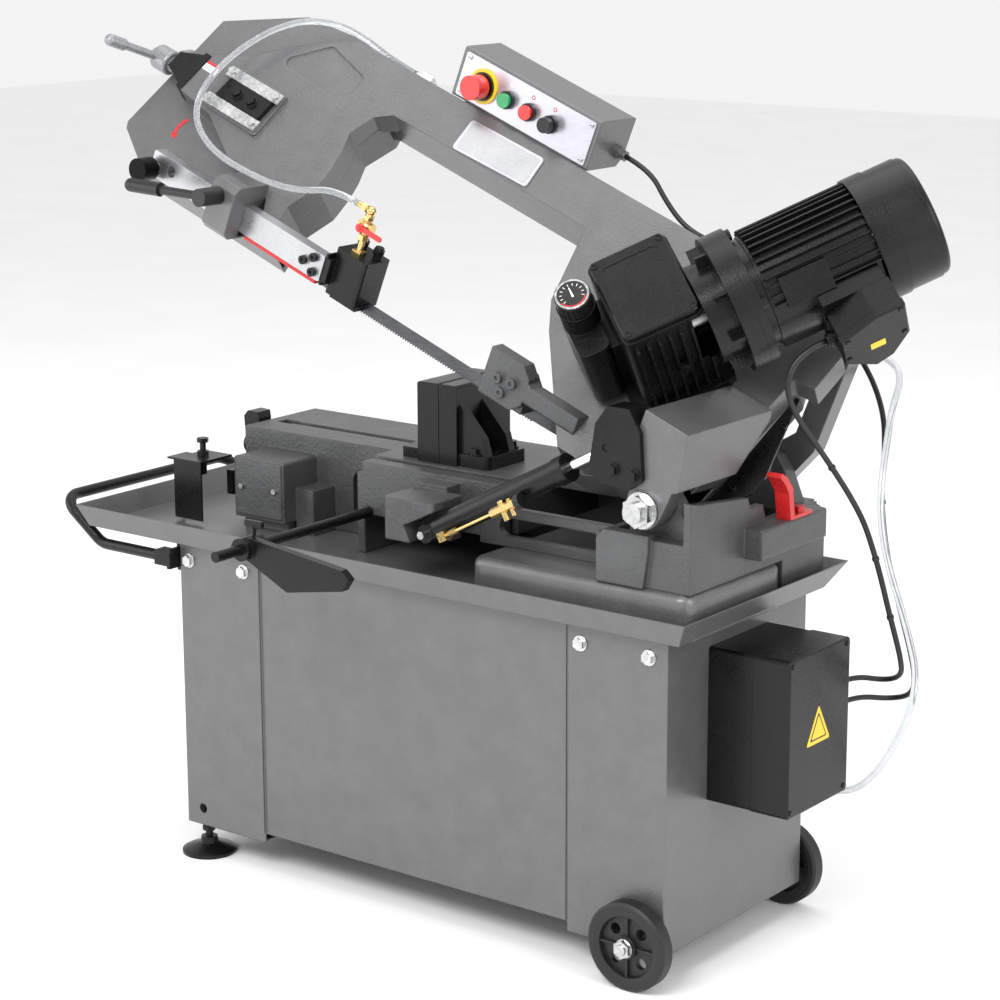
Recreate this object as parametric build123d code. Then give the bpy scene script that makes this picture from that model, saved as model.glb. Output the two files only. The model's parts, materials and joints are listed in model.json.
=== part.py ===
from build123d import *
import math
import os

# Horizontal metal-cutting band saw on a cabinet stand. Millimetres, +Z up, +X towards the motor
# end, -Y towards the operator. The saw head is drawn in its lowered position, where the cutting
# edge is level, and then turned up about its pivot to the raised rest position.

# ---- driving dimensions: stand and tray
stand_length = 930.0
stand_depth = 371.0
stand_bottom = 50.0
stand_top = 521.0
end_stand_width = 170.0
sheet = 2.5
tray_x = (-662.0, 515.0)
tray_half_depth = 219.0
tray_rim = 556.0
platform_x = (120.0, 500.0)
platform_y = (-188.0, 60.0)
platform_top = 586.0
wheel_radius = 66.0
wheel_x = 421.0
foot_x = -435.0
foot_y = 168.0
bolt_xs = (-443.6, -327.7, 318.4, 435.4)

# ---- driving dimensions: bed and vise
bed_top = 670.0
bed_left = -492.0
bed_right = 300.0
bed_front = 3.0
bed_back = 175.0
blade_y = -48.0
vise_y = 68.0
vise_z = 624.0
jaw_line = -60.0

# ---- driving dimensions: head
pivot_x = 421.0
pivot_z = 698.0
raise_angle = 21.8
head_tilt = 45.0
blade_z = 661.0
blade_width = 19.0
blade_thickness = 0.9
wheel_r = 160.0
drive_a = 262.0
idler_a = -606.0
wheel_b = 160.0
plate_c = 60.0
skirt_c = 18.0
screw_c = 38.0
motor_turn = 62.0
motor_c = 190.0
worm_offset = 45.0
gearbox_top = 246.0
running_gap = 0.09
raised_left = [
    (-397, 350), (-200, 350), (-200, 271), (-382, 270), (-407, 250), (-419, 207), (-407, 177),
    (-399, 144), (-395, 103), (-411, 49), (-402, 9), (-430, 9), (-452, 42), (-560, 66),
    (-647, 112), (-724, 122), (-724, 200), (-664, 236), (-600, 300), (-533, 350),
]
raised_right = [
    (-205, 350), (400, 350), (474, 300), (474, 236), (440, 232), (432, -6), (404, -20),
    (300, -22), (262, -40), (222, -40), (86, 102), (54, 145), (16, 271), (-205, 271),
]
idler_cover = [
    (-788, 41), (-788, 276), (-664, 358), (-533, 373), (-426, 370), (-424, 350), (-400, 262),
    (-419, 207), (-407, 177), (-399, 144), (-395, 103), (-411, 49), (-396, -14), (-700, -14), (-780, 30),
]

# ---- driving dimensions: hydraulic feed cylinder
cylinder_pin = (28.0, 602.0)
rod_pin = (364.0, 779.0)
cylinder_y = -165.0
barrel_radius = 19.0
rod_radius = 8.0

half_length = stand_length / 2
half_depth = stand_depth / 2

parts = {}
head_nodes = []
cord_nodes = []

# the plane of the blade wheels: x along the blade, y across the wheels, z out to the front
tilt = math.radians(head_tilt)
bow_plane = Plane(origin=(0, blade_y, blade_z), x_dir=(1, 0, 0), z_dir=(0, -math.cos(tilt), math.sin(tilt)))
bow = bow_plane.location
# the gear frame inside it: x along the motor shaft, y to its left, z out to the front
gear = bow * Location((drive_a, wheel_b, 0), (0, 0, motor_turn))
pivot_axis = Axis((pivot_x, 0, pivot_z), (0, 1, 0))


def block(x, y, z):
    """A box between pairs of coordinates."""
    centre = ((x[0] + x[1]) / 2, (y[0] + y[1]) / 2, (z[0] + z[1]) / 2)
    return Pos(*centre) * Box(abs(x[1] - x[0]), abs(y[1] - y[0]), abs(z[1] - z[0]))


def rod(start, end, radius):
    """A solid cylinder from one point to another."""
    start = Vector(*start)
    along = Vector(*end) - start
    plane = Plane(origin=start, z_dir=along)
    return plane.location * Cylinder(radius, along.length, align=(Align.CENTER, Align.CENTER, Align.MIN))


def tube(start, end, radius, bore):
    """A cylinder with a hole through it."""
    return rod(start, end, radius) - rod(start, end, bore)


def hexagon(start, end, across_flats):
    """A hexagonal bar from one point to another."""
    start = Vector(*start)
    along = Vector(*end) - start
    face = RegularPolygon(across_flats / math.sqrt(3), 6)
    return extrude(Plane(origin=start, z_dir=along) * face, along.length)


def plate(points, low, high):
    """A flat shape in the x-y plane, thick from low to high in z."""
    return Pos(0, 0, low) * extrude(Polygon(*points, align=None), high - low, dir=(0, 0, 1))


def side_plate(points, low, high):
    """A flat shape drawn in the x-z plane, thick from low to high in y."""
    face = Plane(origin=(0, high, 0), x_dir=(1, 0, 0), z_dir=(0, -1, 0)) * Polygon(*points, align=None)
    return extrude(face, high - low, dir=(0, -1, 0))


def end_plate(points, low, high):
    """A flat shape drawn in the y-z plane, thick from low to high in x."""
    face = Plane(origin=(low, 0, 0), x_dir=(0, 1, 0), z_dir=(1, 0, 0)) * Polygon(*points, align=None)
    return extrude(face, high - low, dir=(1, 0, 0))


def turned(profile, axis=Axis.Z):
    """A solid of revolution from (radius, height) points."""
    face = Plane.XZ * Polygon(*profile, align=None)
    return revolve(face, axis)


def softened(shape, axis, radius):
    """The shape with its edges along one axis rounded."""
    return fillet(shape.edges().filter_by(axis), radius)


def flange_bolt(point, normal, size=10.0):
    """A hexagon bolt head on a round flange, with a short shank behind the face."""
    point = Vector(*point)
    normal = Vector(*normal).normalized()
    flange = rod(point, point + normal * size * 0.2, size * 1.15)
    head = hexagon(point + normal * size * 0.2, point + normal * size * 0.85, size * 1.6)
    shank = rod(point - normal * size * 0.9, point, size * 0.5)
    return flange + head + shank


def cap_screw(point, normal, size=5.0):
    """A socket head cap screw standing on a face."""
    point = Vector(*point)
    normal = Vector(*normal).normalized()
    head = rod(point, point + normal * size, size * 0.85)
    socket = hexagon(point + normal * size * 0.4, point + normal * size * 1.1, size * 0.75)
    shank = rod(point - normal * size * 1.4, point, size * 0.5)
    return head - socket + shank


def keep(name, shape, in_head=False):
    """Names a piece; a piece of the head is turned up with it later."""
    parts[name] = shape
    if in_head:
        head_nodes.append(name)


def group(pieces):
    """Separate solids held in one node."""
    solids = []
    for piece in pieces:
        solids.extend(piece.solids())
    return Compound(children=solids)


# ------------------------------------------------------------------ cabinet stand
def end_stand(side):
    """One end of the stand: a folded sheet with front and back flanges."""
    outer_x = side * half_length
    inner_x = side * (half_length - end_stand_width)
    shell = block((outer_x, inner_x), (-half_depth, half_depth), (stand_bottom, stand_top))
    shell = softened(shell, Axis.Z, 3)
    hollow = block(
        (outer_x - side * sheet, inner_x - side * 20),
        (-half_depth + sheet, half_depth - sheet),
        (stand_bottom - 1, stand_top - sheet),
    )
    shell -= hollow
    for y in (-1, 1):
        lip = block(
            (outer_x - side * 4, inner_x + side * 4),
            (y * (half_depth - sheet), y * (half_depth - 34)),
            (stand_bottom, stand_bottom + sheet),
        )
        shell += lip
    for x in bolt_xs:
        shell -= rod((x, -half_depth - 5, 490), (x, half_depth + 5, 490), 5.3)
    return shell


def cabinet_stand():
    left = end_stand(-1)
    right = end_stand(1)
    for y in (-1, 1):
        left -= rod((-430, y * (half_depth + 5), 78), (-430, y * (half_depth - 8), 78), 8)
        left -= rod((foot_x, y * foot_y, 40), (foot_x, y * foot_y, 60), 6 + running_gap)
        right -= rod((wheel_x, y * (half_depth + 5), wheel_radius), (wheel_x, y * (half_depth - 8), wheel_radius), 8)
    inner = half_length - end_stand_width - 14
    panels = []
    for y in (-1, 1):
        panel = block(
            (-inner - 28, inner + 28),
            (y * (half_depth - sheet), y * (half_depth - sheet - 2)),
            (stand_bottom + 14, stand_top),
        )
        fold = block(
            (-inner + 20, inner - 20),
            (y * (half_depth - sheet - 2), y * (half_depth - 24)),
            (stand_bottom + 14, stand_bottom + 16),
        )
        panels.append(panel + fold - left - right)
    return group([left, right] + panels)


# ------------------------------------------------------------------ tray
def tray_shell(offset, bottom):
    """A shallow tapered pan, drawn as a loft from its floor to its rim."""
    floor_x = (tray_x[0] + 17 + offset, tray_x[1] - 17 - offset)
    floor_y = (-tray_half_depth + 12 + offset, tray_half_depth - 40 - offset)
    rim_x = (tray_x[0] + offset, tray_x[1] - offset)
    rim_y = (-tray_half_depth + offset, tray_half_depth - offset)
    low = Pos((floor_x[0] + floor_x[1]) / 2, (floor_y[0] + floor_y[1]) / 2, bottom) * Rectangle(
        floor_x[1] - floor_x[0], floor_y[1] - floor_y[0]
    )
    high = Pos((rim_x[0] + rim_x[1]) / 2, 0, tray_rim + (0.01 if offset else 0)) * Rectangle(
        rim_x[1] - rim_x[0], rim_y[1] - rim_y[0]
    )
    return loft([low, high])


def chip_tray():
    pan = tray_shell(0, stand_top) - tray_shell(2.0, stand_top + 2.0)
    raised = block(platform_x, platform_y, (stand_top, platform_top))
    raised = softened(raised, Axis.Z, 22)
    raised = fillet(raised.faces().sort_by(Axis.Z)[-1].edges(), 12)
    hollow = block(
        (platform_x[0] + 2.5, platform_x[1] - 2.5),
        (platform_y[0] + 2.5, platform_y[1] - 2.5),
        (stand_top - 1, platform_top - 2.5),
    )
    hollow = softened(hollow, Axis.Z, 20)
    hollow = fillet(hollow.faces().sort_by(Axis.Z)[-1].edges(), 10)
    tray = pan + raised - hollow
    drain = rod((-250, 40, stand_top - 5), (-250, 40, stand_top + 8), 12)
    return tray - drain


# ------------------------------------------------------------------ cast base with the bed
def pivot_ear(y):
    """An upright ear that carries the head pivot."""
    outline = [(372, 640), (386, 702), (398, 722), (444, 722), (458, 702), (484, 640)]
    ear = side_plate(outline, min(y), max(y))
    return ear + rod((pivot_x, min(y), pivot_z), (pivot_x, max(y), pivot_z), 31)


def base_casting():
    under = stand_top + 2.5
    top = bed_top
    left_bed = block((bed_left, -168), (bed_front, bed_back), (648, top))
    right_bed = block((-180, 95), (blade_y + 6, bed_back), (648, top))
    rear_bed = block((95, bed_right), (28, bed_back), (648, top))
    body = left_bed + right_bed + rear_bed
    # walls under the bed
    body += block((bed_left, -168), (bed_front, bed_front + 12), (under, 650))
    body += block((bed_left, 484), (bed_back - 12, bed_back), (under, 650))
    body += block((bed_left, bed_left + 14), (bed_front, bed_back), (under, 650))
    body += block((-182, -168), (-80, bed_back), (platform_top - 24, 650))
    body += block((-182, -168), (-80, bed_back), (under, 600))
    body += block((88, 100), (blade_y + 6, bed_back), (platform_top, 650))
    body += block((bed_right - 12, bed_right), (28, bed_back), (platform_top, 650))
    # the slot for the vise nut, its passage, and the arched opening in the front wall
    body -= block((-462, -92), (vise_y - 8, vise_y + 8), (640, top + 1))
    body -= block((-470, -440), (vise_y - 12, vise_y + 12), (640, top + 1))
    body -= block((-190, -160), (vise_y - 22, vise_y + 22), (600, 645))
    arch = block((-262, -184), (bed_front - 2, bed_front + 16), (560, 628))
    body -= fillet(arch.edges().filter_by(Axis.Y).group_by(Axis.Z)[-1], 20)
    # narrow ledge in front of the blade slot
    ledge = block((-172, 94), (-80, blade_y - 6), (platform_top, 668))
    body += ledge - block((-160, 82), (-72, blade_y - 14), (platform_top - 1, 656))
    # front left block that carries the cover plate
    left_block = block((-442, -337), (-78, bed_front + 2), (543, 642))
    left_block = fillet(left_block.edges().filter_by(Axis.Y).group_by(Axis.Z)[-1], 6)
    body += left_block - block((-434, -345), (-79, bed_front - 10), (552, 630))
    for x in (-424, -354):
        lug = block((x - 12, x + 12), (-78, -66), (586, 602))
        body += lug - rod((x, -84, 594), (x, -60, 594), 2.6)
    body += block((-337, -300), (-50, bed_front + 2), (under, 596))
    body += block((-436, -343), (-62, bed_front + 2), (under, 545))
    # web with the long rounded opening, and the walls of the motor end
    web = block((88, 345), (-112, -100), (platform_top, 645))
    opening = block((118, 300), (-120, -90), (602, 630))
    body += web - softened(opening, Axis.Y, 13.5)
    body += block((82, 94), (-112, -60), (platform_top, 650))
    body += block((339, 351), (-178, -100), (platform_top, 655))
    body += block((339, 496), (-178, -166), (platform_top, 655))
    front_pad = [(344, 586), (344, 648), (356, 662), (431, 662), (431, 640), (423, 586)]
    body += side_plate(front_pad, -186, -166)
    end_wall = [
        (-178, platform_top), (-178, 715), (-158, 710), (-34, 697), (-26, 680), (6, 680),
        (16, 655), (150, 655), (178, 640), (178, under), (63, under), (63, platform_top),
    ]
    body += end_plate(end_wall, 484, 496)
    body += block((470, 496), (63, 178), (under, 600))
    # hollow beam welded to the end wall
    beam = block((480, 526), (-42, 132), (611, 655))
    body += softened(beam, Axis.Y, 4) - block((490, 521), (-37, 127), (616, 650))
    # ears for the head pivot
    body += pivot_ear((-150, -126))
    body += pivot_ear((126, 150))
    body += block((372, 484), (-168, -126), (640, 655))
    body += block((372, 484), (126, 168), (640, 655))
    body += block((372, 384), (126, 168), (600, 655))
    # cast housing for the lower end of the hydraulic cylinder
    housing = block((-44, 50), (-186, -110), (588, 652))
    housing = fillet(housing.edges().filter_by(Axis.Z), 10)
    neck = block((-44, 20), (-112, -76), (588, 660))
    body += housing + neck
    x, z = cylinder_pin
    body -= Pos(x, cylinder_y, z) * Rot(0, -26, 0) * block((-24, 90), (-23, 23), (-24, 24))
    body -= rod((x, -190, z), (x, -100, z), 6.05)
    # bores for the pivot, the vise screw and the stop rod
    body -= rod((pivot_x, -190, pivot_z), (pivot_x, 190, pivot_z), 15)
    body -= rod((bed_left - 5, vise_y, vise_z), (-160, vise_y, vise_z), 11 + running_gap)
    body -= rod((-159, -90, 590), (-159, -40, 590), 8)
    return body


def base_cover_plate():
    cover = softened(block((-438, -341), (-80.3, -78), (548, 638)), Axis.Y, 2)
    for x in (-424, -354):
        cover -= rod((x, -84, 594), (x, -70, 594), 2.6)
    return cover


def frame_fasteners():
    pieces = []
    for x in bolt_xs:
        for side in (-1, 1):
            pieces.append(flange_bolt((x, side * half_depth, 490), (0, side, 0), 10))
    for x in (-424, -354):
        pieces.append(cap_screw((x, -80.3, 594), (0, -1, 0), 5))
    # head pivot: two stub shafts with washers and lock nuts
    for side in (-1, 1):
        pieces.append(rod((pivot_x, side * 122, pivot_z), (pivot_x, side * 212, pivot_z), 15))
        washer = tube((pivot_x, side * 186.2, pivot_z), (pivot_x, side * 189.2, pivot_z), 26, 15)
        nut = hexagon((pivot_x, side * 189.2, pivot_z), (pivot_x, side * 203, pivot_z), 40)
        pieces[-1] = pieces[-1] + washer + nut
    # pin of the hydraulic cylinder
    x, z = cylinder_pin
    pieces.append(rod((x, -186, z), (x, -130, z), 6))
    return group(pieces)


def lift_handle():
    """Bent tube at the idler end, carried under the tray."""
    side_y = 196.0
    path = FilletPolyline(
        (-half_length - 6, -side_y, 492),
        (-628, -side_y, 492),
        (-716, -side_y, 556),
        (-716, side_y, 556),
        (-628, side_y, 492),
        (-half_length - 6, side_y, 492),
        radius=[40, 34, 34, 40],
    )
    section = Plane(origin=path @ 0, z_dir=path % 0) * Circle(9)
    bar = sweep(section, path)
    for side in (-1, 1):
        foot = block((-half_length - 6.5, -half_length - 0.6), (side * 180 - 24, side * 180 + 4), (468, 516))
        foot = block(
            (-half_length - 7, -half_length - 0.6),
            (side * 160, side * 184),
            (470, 514),
        )
        clip = block((-half_length - 34, -half_length - 4), (side * 184, side * 208), (480, 504))
        bar += foot + clip + block((-half_length - 7, -half_length - 0.6), (side * 160, side * 208), (476, 508))
    return bar


def wheel_axle():
    length = 232.0
    bar = rod((wheel_x, -length, wheel_radius), (wheel_x, length, wheel_radius), 8)
    pieces = [bar]
    for side in (-1, 1):
        inner = tube((wheel_x, side * 186.2, wheel_radius), (wheel_x, side * 191.6, wheel_radius), 15, 8.3)
        outer = tube((wheel_x, side * 219.4, wheel_radius), (wheel_x, side * 221.4, wheel_radius), 14, 8.3)
        nut = hexagon((wheel_x, side * 221.6, wheel_radius), (wheel_x, side * 229, wheel_radius), 24)
        nut -= rod((wheel_x, side * 218, wheel_radius), (wheel_x, side * 232, wheel_radius), 8.3)
        pieces += [inner, outer, nut]
    return group(pieces)


def transport_wheel(side):
    """A moulded wheel with a ribbed web, four holes and a solid tread."""
    r = wheel_radius
    profile = [
        (8.09, -13), (17, -13), (17, -5), (44, -4), (46, -11), (54, -13), (62, -13), (r, -10),
        (r, 10), (62, 13), (54, 13), (46, 11), (44, 4), (17, 5), (17, 13), (8.09, 13),
    ]
    wheel = turned(profile)
    for k in range(4):
        wheel -= Rot(0, 0, 45 + 90 * k) * Pos(31, 0, 0) * Cylinder(8.5, 20)
        for face in (-1, 1):
            wheel += Rot(0, 0, 90 * k) * Pos(31, 0, face * 6.5) * Box(29, 3.5, 5)
    return Pos(wheel_x, side * 205.5, r) * Rot(90, 0, 0) * wheel


def head_stop():
    """Folded bracket beside the bed with the adjusting bolt that the lowered head rests on."""
    x = (-556.0, -496.0)
    y = (-100.0, -26.0)
    z = (528.0, 626.0)
    bracket = block(x, y, z) - block((x[0] + 3, x[1] + 1), (y[0] + 3, y[1] + 1), (z[0] - 1, z[1] - 3))
    bracket = bracket - block((x[0] - 1, x[0] + 4), (y[0] + 20, y[1] + 1), (z[0] - 1, z[1] - 40))
    tab = block((x[0] - 14, x[0] + 2), (y[0], y[0] + 44), (z[1] - 3, z[1]))
    arm = block((-506, -492.6), (y[1] - 3, 20), (560, 600))
    bracket += tab + arm
    bolt_x = -530.0
    bolt_y = -58.0
    bracket -= rod((bolt_x, bolt_y, z[1] - 6), (bolt_x, bolt_y, z[1] + 2), 5.3)
    bolt = rod((bolt_x, bolt_y, z[1] - 30), (bolt_x, bolt_y, z[1] + 22), 5)
    bolt += hexagon((bolt_x, bolt_y, z[1] + 22), (bolt_x, bolt_y, z[1] + 29), 17)
    bolt += hexagon((bolt_x, bolt_y, z[1] + 0.2), (bolt_x, bolt_y, z[1] + 8), 17)
    return group([bracket, bolt])


def stop_rod():
    return rod((-159, -424, 590), (-159, -45, 590), 8)


def stop_arm():
    """Work stop on the rod: a hub with a flat tapering arm, and its thumb screw."""
    hub = rod((-159, -372, 590), (-159, -330, 590), 17)
    outline = [(-170, 603), (-148, 607), (26, 586), (40, 574), (28, 556), (-78, 537), (-156, 574)]
    arm = hub + side_plate(outline, -362, -348)
    arm -= rod((-159, -380, 590), (-159, -320, 590), 8 + running_gap)
    arm -= rod((-159, -340, 600), (-159, -340, 612), 3.2)
    screw = rod((-159, -340, 598.6), (-159, -340, 618), 3)
    screw += rod((-159, -340, 616), (-159, -340, 621), 5)
    screw += softened(block((-176, -142), (-343, -337), (618, 628)), Axis.Y, 3)
    return group([arm, screw])


# ------------------------------------------------------------------ vise
def vise_screw():
    """Lead screw with its crank, which turn together."""
    screw = rod((-478, vise_y, vise_z), (-100, vise_y, vise_z), 10)
    screw += rod((-512, vise_y, vise_z), (-477, vise_y, vise_z), 11)
    collar = rod((-477.5, vise_y, vise_z), (-470, vise_y, vise_z), 15)
    for k in range(28):
        x = -440 + 10 * k
        screw -= tube((x, vise_y, vise_z), (x + 4, vise_y, vise_z), 11, 8.6)
    hub = rod((-542, vise_y, vise_z), (-494, vise_y, vise_z), 17)
    paddle = [(-536, vise_z - 8), (-541, vise_z + 48), (-532, vise_z + 58), (-510, vise_z + 57)]
    paddle += [(-508, vise_z + 46), (-510, vise_z - 8)]
    arm = side_plate(paddle, vise_y - 15, vise_y + 15)
    arm = fillet(arm.edges().filter_by(Axis.Y).group_by(Axis.Z)[-1], 5)
    crank = hub + arm - rod((-512.2, vise_y, vise_z), (-480, vise_y, vise_z), 11.02)
    return group([screw + collar, crank])


def moving_jaw():
    """Sliding jaw with a gusset, its foot, and the nut that hangs through the bed slot."""
    y = (-30.0, 104.0)
    jaw = block((jaw_line - 42, jaw_line - 1), y, (bed_top + 0.3, 794))
    jaw = fillet(jaw.edges().filter_by(Axis.Y).group_by(Axis.Z)[-1], 5)
    foot = block((jaw_line - 84, jaw_line - 30), (y[0] + 10, y[1] - 10), (bed_top + 0.3, bed_top + 16))
    jaw += softened(foot, Axis.Z, 8)
    gusset = [(-138, 686), (-102, 686), (-100, 780), (-112, 760)]
    for middle in (vise_y - 34, vise_y + 20):
        jaw += side_plate(gusset, middle - 7, middle + 7)
    stem = block((jaw_line - 62, jaw_line - 40), (vise_y - 7.5, vise_y + 7.5), (bed_top - 34, bed_top + 2))
    nut = block((jaw_line - 70, jaw_line - 34), (vise_y - 18, vise_y + 18), (vise_z - 16, vise_z + 15))
    jaw += stem + nut - rod((-150, vise_y, vise_z), (-80, vise_y, vise_z), 10 + running_gap)
    jaw -= rod((-150, vise_y, vise_z), (-80, vise_y, vise_z), 10 + running_gap)
    return jaw


def fixed_jaw():
    """Jaw that swivels on the bed for mitre cuts, with its two clamp bolts."""
    y = (-30.0, 104.0)
    jaw = block((jaw_line, jaw_line + 34), y, (bed_top + 0.3, 794))
    jaw = fillet(jaw.edges().filter_by(Axis.Y).group_by(Axis.Z)[-1], 5)
    foot = block((jaw_line + 20, jaw_line + 92), (y[0] + 4, 70), (bed_top + 0.3, bed_top + 20))
    jaw += softened(foot, Axis.Z, 9)
    rib = [(-30, 688), (26, 688), (18, 716), (-30, 770)]
    jaw += side_plate(rib, -22, -8)
    jaw += side_plate(rib, 34, 48)
    pieces = [jaw]
    for x, mid in ((4, -19), (12, 56)):
        pieces.append(
            rod((x, mid, bed_top + 20.2), (x, mid, bed_top + 23), 12)
            + hexagon((x, mid, bed_top + 23), (x, mid, bed_top + 31), 18)
        )
    return group([pieces[0]] + pieces[1:])


def latch_hook():
    """Painted stop lever that holds the raised head, turning on one bolt."""
    x0 = 514.0
    strap = block((x0 - 12, x0 + 12), (34, 96), (655, 660))
    strap = softened(strap, Axis.Z, 6)
    outline = [(34, 655), (44, 660), (38, 702), (22, 720), (8, 728), (4, 722), (16, 711), (27, 696)]
    hook = end_plate(outline, x0 - 12, x0 + 12)
    bolt = hexagon((x0, 74, 660), (x0, 74, 668), 17)
    return group([strap + hook, bolt])


# ------------------------------------------------------------------ hydraulic cylinder
def along_cylinder(shape):
    """Places a shape drawn along +X from the lower pin."""
    dx = rod_pin[0] - cylinder_pin[0]
    dz = rod_pin[1] - cylinder_pin[1]
    angle = math.degrees(math.atan2(dz, dx))
    return Pos(cylinder_pin[0], cylinder_y, cylinder_pin[1]) * Rot(0, -angle, 0) * shape


def cylinder_parts():
    reach = math.hypot(rod_pin[0] - cylinder_pin[0], rod_pin[1] - cylinder_pin[1])
    barrel_end = reach - 92.0
    eye = rod((0, -10, 0), (0, 10, 0), 14) + block((0, 26), (-9, 9), (-12, 12))
    barrel = rod((24, 0, 0), (barrel_end, 0, 0), barrel_radius) + eye
    barrel += rod((barrel_end - 20, 0, 0), (barrel_end, 0, 0), barrel_radius + 2)
    barrel -= rod((40, 0, 0), (barrel_end - 12, 0, 0), barrel_radius - 3)
    barrel -= rod((barrel_end - 14, 0, 0), (barrel_end + 2, 0, 0), rod_radius + running_gap)
    barrel -= rod((0, -12, 0), (0, 12, 0), 6.05)
    keep("cylinder_barrel", along_cylinder(barrel))

    piston = rod((barrel_end - 74, 0, 0), (barrel_end - 56, 0, 0), barrel_radius - 3.2)
    bar = piston + rod((barrel_end - 56, 0, 0), (reach - 8, 0, 0), rod_radius)
    bar += rod((reach, -9, 0), (reach, 9, 0), 13)
    bar -= rod((reach, -12, 0), (reach, 12, 0), 8.0)
    keep("cylinder_rod", along_cylinder(bar))

    # brass line from the lower port to the needle valve near the rod end
    y = -27.0
    drop = -22.0
    elbow = rod((48, -14, drop + 6), (48, y, drop + 6), 5) + block((41, 55), (y - 7, y + 7), (drop - 1, drop + 13))
    line = rod((54, y, drop + 6), (150, y, drop + 6), 2.4)
    body = hexagon((148, y, drop + 6), (196, y, drop + 6), 13)
    side_ports = rod((170, y, drop - 12), (170, y, drop + 18), 5) + rod((186, y, drop - 10), (186, y, drop + 16), 4)
    link = rod((178, -17, drop + 6), (178, y, drop + 6), 4)
    union = hexagon((60, y, drop + 6), (74, y, drop + 6), 9)
    keep("cylinder_valve", along_cylinder(elbow + line + body + side_ports + link + union))

    knob = rod((198, y, drop + 6), (208, y, drop + 6), 11)
    for k in range(12):
        turn = 2 * math.pi * k / 12
        groove_y = y + 11.4 * math.cos(turn)
        groove_z = drop + 6 + 11.4 * math.sin(turn)
        knob -= rod((197, groove_y, groove_z), (209, groove_y, groove_z), 1.2)
    knob += rod((196.3, y, drop + 6), (199, y, drop + 6), 4)
    keep("valve_knob", along_cylinder(knob))


def cylinder_bracket():
    """Black bracket on the head that takes the rod end between two cheeks."""
    x, z = rod_pin
    body = bracket_block()
    body -= Pos(x, cylinder_y, z) * Rot(0, -27, 0) * block((-70, 22), (-11, 11), (-34, 30))
    body -= rod((x, -196, z), (x, -136, z), 6)
    pieces = [body, rod((x, -190, z), (x, -153, z), 6)]
    for bolt_x, bolt_z in ((376, 750), (410, 746)):
        pieces.append(rod((bolt_x, -192, bolt_z), (bolt_x, -194, bolt_z), 10)
                      + hexagon((bolt_x, -194, bolt_z), (bolt_x, -200, bolt_z), 15))
    return group(pieces)


# ------------------------------------------------------------------ head: castings and guards
def bow_casting():
    """C-shaped casting that carries both wheels, drawn in the plane of the wheels."""
    body = plate(raised_left, skirt_c, plate_c) + plate(raised_right, skirt_c, plate_c)
    for outline, wall in ((raised_left, 9), (raised_right, 9)):
        hollow = offset(Polygon(*outline, align=None), -wall)
        body -= Pos(0, 0, skirt_c - 1) * extrude(hollow, plate_c - 12 - skirt_c + 1, dir=(0, 0, 1))
    body -= block((-240, -160), (281, 340), (skirt_c - 1, plate_c - 12))
    skirt = plate(idler_cover, skirt_c, skirt_c + 5)
    body += skirt
    # broad raised border around the idler end and a shallow panel beside the throat
    panel = plate([(-621, 251), (-498, 245), (-470, 262), (-470, 300), (-560, 320)], plate_c - 3, plate_c + 1)
    body -= fillet(panel.edges().filter_by(Axis.Z), 12)
    pad = plate([(-672, 120), (-548, 118), (-552, 204), (-674, 206)], plate_c - 1, plate_c + 5)
    body += fillet(pad.edges().filter_by(Axis.Z), 6)
    # seat of the drive shaft and slot of the tension slide
    body += Pos(drive_a, wheel_b, 24) * Cylinder(46, 30, align=(Align.CENTER, Align.CENTER, Align.MIN))
    body -= Pos(drive_a, wheel_b, 0) * Cylinder(22 + running_gap, 200)
    body -= plate([(-650, 146), (-562, 146), (-562, 174), (-650, 174)], plate_c - 13, plate_c + 8)
    body -= plate([(-636, 144), (-580, 144), (-580, 176), (-636, 176)], skirt_c - 1, skirt_c + 6)
    body -= rod((-730, wheel_b, screw_c), (-700, wheel_b, screw_c), 7 + running_gap)
    # two shallow steps below the gearbox
    for start in (300,):
        step = plate([(start, -12), (start + 70, -12), (start + 70, 30), (start, 30)], plate_c - 1, plate_c + 3)
        body += fillet(step.edges().filter_by(Axis.Z), 8)
    placed = bow * body
    placed -= block((-700, -240), (-101, -79.5), (671, 724))
    # front lug and rear lug of the pivot, joined to the plate above the ears
    lug = side_plate([(372, 742), (398, 737), (446, 737), (462, 748), (446, 830), (372, 830)], -184, 30)
    lug -= bow * block((-900, 900), (-400, 700), (-300, plate_c - 6))
    front = side_plate([(392, 698), (450, 698), (454, 744), (388, 744)], -184, -152)
    front += rod((pivot_x, -185, pivot_z), (pivot_x, -152, pivot_z), 28)
    rear = side_plate(
        [(396, 680), (446, 680), (474, 752), (474, 935), (436, 935), (436, 764), (404, 722)], 152, 184
    )
    rear += rod((pivot_x, 152, pivot_z), (pivot_x, 185, pivot_z), 28)
    link = side_plate([(436, 860), (474, 860), (474, 935), (436, 935)], 100, 184)
    link -= bow * block((-900, 900), (-400, 349), (-300, 90))
    placed = placed + lug + front + rear + link
    placed -= rod((pivot_x, -200, pivot_z), (pivot_x, 200, pivot_z), 15 + running_gap)
    placed = placed.rotate(pivot_axis, raise_angle)
    placed -= bracket_block()
    return placed.rotate(pivot_axis, -raise_angle)


def guard(outline, low, high, wall=2.0):
    """An open sheet cover: a rear skin with a folded wall around it."""
    outer = plate(outline, low, high)
    inner = offset(Polygon(*outline, align=None), -wall)
    return outer - Pos(0, 0, low + wall) * extrude(inner, high - low + 1, dir=(0, 0, 1))


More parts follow.
